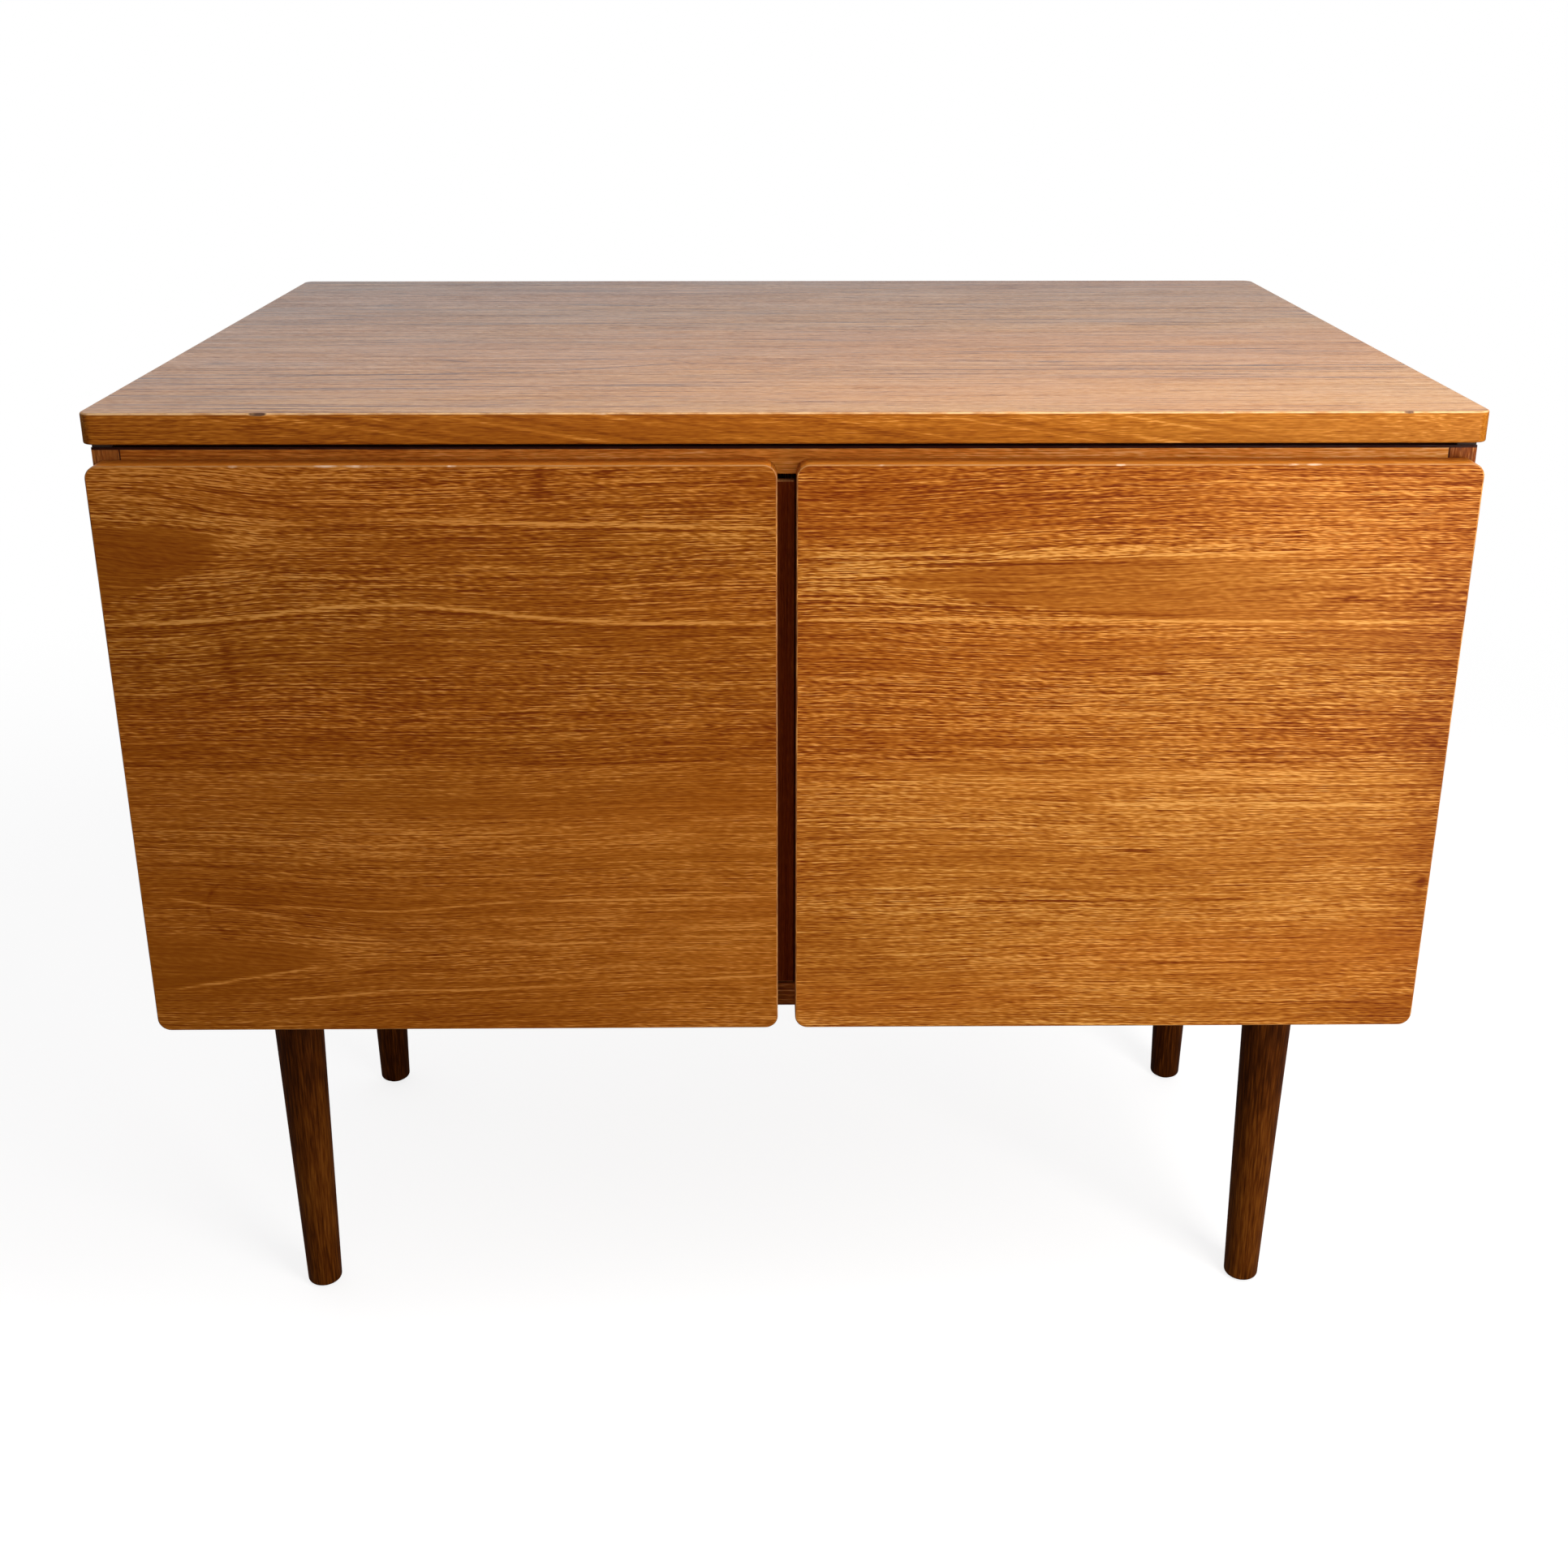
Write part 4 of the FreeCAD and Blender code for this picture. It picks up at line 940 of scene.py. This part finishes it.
catch_plastic = plain("catch_plastic", colour(92, 60, 40), 0.5, 900)
buffer_rubber = plain("buffer_rubber", colour(70, 62, 56), 0.85, 1400)
bare_steel = metal("bare_steel", colour(120, 120, 122), 0.5, 0.3)
DOWN = (0, 0, -1)
EAR_THICKNESS, EAR_SCREW_INSET = 0.0025, 0.005
STRIKE_SCREW_OFF = 0.0115
for side in ("left", "right"):
    dress(f"catch_case_{side}", catch_plastic)
    dress(f"catch_magnet_{side}", bare_steel)
    dress(f"catch_strike_{side}", zinc)
    dress(f"door_buffers_{side}", buffer_rubber)
    case_low, case_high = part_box(f"catch_case_{side}")
    ear_y = (case_low[Y] + case_high[Y]) / 2
    ears = [((x, ear_y, case_high[Z] - EAR_THICKNESS), DOWN, 0.5)
            for x in (case_low[X] + EAR_SCREW_INSET, case_high[X] - EAR_SCREW_INSET)]
    catch_screws = heads(f"catch_screws_{side}", ears, 0.0032, 0.0012, 0.14, [zinc, slot_shadow])
    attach(catch_screws, "carcass")
    strike_low, strike_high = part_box(f"catch_strike_{side}")
    strike_x, strike_z = ((strike_low[axis] + strike_high[axis]) / 2 for axis in (X, Z))
    strike_ends = [((strike_x + shift, strike_high[Y], strike_z), BACKWARD, 0.9)
                   for shift in (-STRIKE_SCREW_OFF, STRIKE_SCREW_OFF)]
    strike_screws = heads(f"strike_screws_{side}", strike_ends, 0.0018, 0.0003, 0.16, [zinc, slot_shadow])
    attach(strike_screws, f"{side}_door")


# Legs. Turned hardwood, stained dark and polished, tapering to a softly
# rounded foot with a felt glide; a bolt joins each to a steel plate that is
# screwed under the bottom panel.
def turned(name, centre, profile, materials, segments=72):
    """A turned piece: the profile (radius, height) carried once round an upright axis."""
    radius, height = np.array(profile).T
    angle = np.arange(segments) * 2 * np.pi / segments
    across = centre[X] + radius[:, None] * np.cos(angle)
    along = centre[Y] + radius[:, None] * np.sin(angle)
    points = np.stack([across, along, np.repeat(height[:, None], segments, 1)], -1).reshape(-1, 3)
    rows = len(radius)
    index = np.arange(rows * segments).reshape(rows, segments)
    after = np.roll(index, -1, 1)
    quads = np.stack([index[:-1], after[:-1], after[1:], index[1:]], -1).reshape(-1, 4)
    faces = [tuple(quad) for quad in quads.tolist()]
    faces += [tuple(index[0][::-1].tolist()), tuple(index[-1].tolist())]
    return add_piece(name, points, faces, [True] * (len(faces) - 2) + [False] * 2, materials)


LEG_STAIN = [(0.0, colour(56, 22, 1)), (0.3, colour(78, 35, 3)), (0.6, colour(104, 51, 8)),
             (1.0, colour(136, 76, 20))]


def leg_wood_with_painted_shade(name, centre, seed, painted_light_offset):
    """Dark turned wood: rings about a pith outside the leg, cut by the taper into long tongues.

    p is the distance from the pith, bent by slow noise along the leg; growth is noise of p alone and
    fibres are noise stretched along the leg. Towards the plate the wood is painted darker, a painted shadow
    of the cabinet, and the offset makes it lighter or darker as painted light and shade.
    """
    material, shader, (x, y, z) = new_material(name)
    off_x = x - (centre[X] + 0.034)
    off_y = y - (centre[Y] - 0.021)
    bend = z.noise(z * 3.5 + seed, x * 12, y * 12, 1.0) - 0.5
    pith = (off_x * off_x + off_y * off_y).math("SQRT") + bend * 0.010
    growth = z.noise(pith * 260 + seed, z * 0.8, 0.0, 2.0) - 0.5
    fibres = z.noise(z * 46 + seed, x * 900, y * 900, 2.0) - 0.5
    blotch = z.noise(z * 14 + seed, x * 30, y * 30, 2.0) - 0.5
    tone = 0.5 + growth * 0.9 + fibres * 1.9 + blotch * 0.7 + painted_light_offset - z.ease(0.10, 0.30) * 0.45
    tone.get("ShaderNodeValToRGB", {"stops": LEG_STAIN}, {0: tone}).into(shader, "Base Color")
    (0.36 + fibres * 0.3).into(shader, "Roughness")
    fibres.press(shader, 0.3, 0.0002)
    shader.inputs["Specular IOR Level"].default_value = 0.08
    return material


felt = plain("felt", colour(70, 56, 44), 1.0, 2200, 0.1)
LEG_RADIUS, FOOT_RADIUS, FOOT_ROUND = 0.019, 0.0125, 0.0030
PLATE_SCREW_INSET = 0.009
quarter = np.linspace(-math.pi / 2, 0, 7)
plate_screws = []
# Painted light and shade: the front legs are painted lighter and the back legs, under the cabinet, darker.
for end, painted_light_offset in (("front", 0.10), ("back", -0.25)):
    for side in ("left", "right"):
        name = f"{end}_{side}"
        low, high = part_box(f"leg_{name}")
        centre = ((low[X] + high[X]) / 2, (low[Y] + high[Y]) / 2)
        slope = (LEG_RADIUS - FOOT_RADIUS) / (high[Z] - low[Z])
        foot = [(FOOT_RADIUS + FOOT_ROUND * slope - FOOT_ROUND + FOOT_ROUND * math.cos(a),
                 low[Z] + FOOT_ROUND + FOOT_ROUND * math.sin(a)) for a in quarter]
        shaft = [(FOOT_RADIUS + slope * (z - low[Z]), z)
                 for z in np.linspace(low[Z] + 0.02, high[Z] - 0.0012, 8)]
        cap = [(LEG_RADIUS - 0.0004, high[Z] - 0.0004), (LEG_RADIUS - 0.0012, high[Z])]
        seed = low[X] * 90 + low[Y] * 37
        wood = leg_wood_with_painted_shade(f"leg_wood_with_painted_shade_{name}", centre, seed, painted_light_offset)
        leg = turned(f"turned_leg_{name}", centre, foot + shaft + cap, [wood])
        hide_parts(f"leg_{name}")
        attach(leg, "carcass")
        glide_low, glide_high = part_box(f"glide_{name}")
        glide_profile = [(0.0082, glide_low[Z]), (0.0088, glide_low[Z] + 0.0003),
                         (0.009, glide_low[Z] + 0.0008), (0.0088, glide_high[Z])]
        glide = turned(f"felt_glide_{name}", centre, glide_profile, [felt], 48)
        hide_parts(f"glide_{name}")
        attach(glide, "carcass")
        dress(f"leg_plate_{name}", zinc)
        dress(f"leg_bolt_{name}", zinc)
        plate_low, plate_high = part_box(f"leg_plate_{name}")
        for x in (plate_low[X] + PLATE_SCREW_INSET, plate_high[X] - PLATE_SCREW_INSET):
            for y in (plate_low[Y] + PLATE_SCREW_INSET, plate_high[Y] - PLATE_SCREW_INSET):
                plate_screws.append(((x, y, plate_low[Z]), DOWN, x * 40 + y * 25))
leg_screws = heads("leg_plate_screws", plate_screws, 0.0040, 0.0016, 0.14, [zinc, slot_shadow])
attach(leg_screws, "carcass")
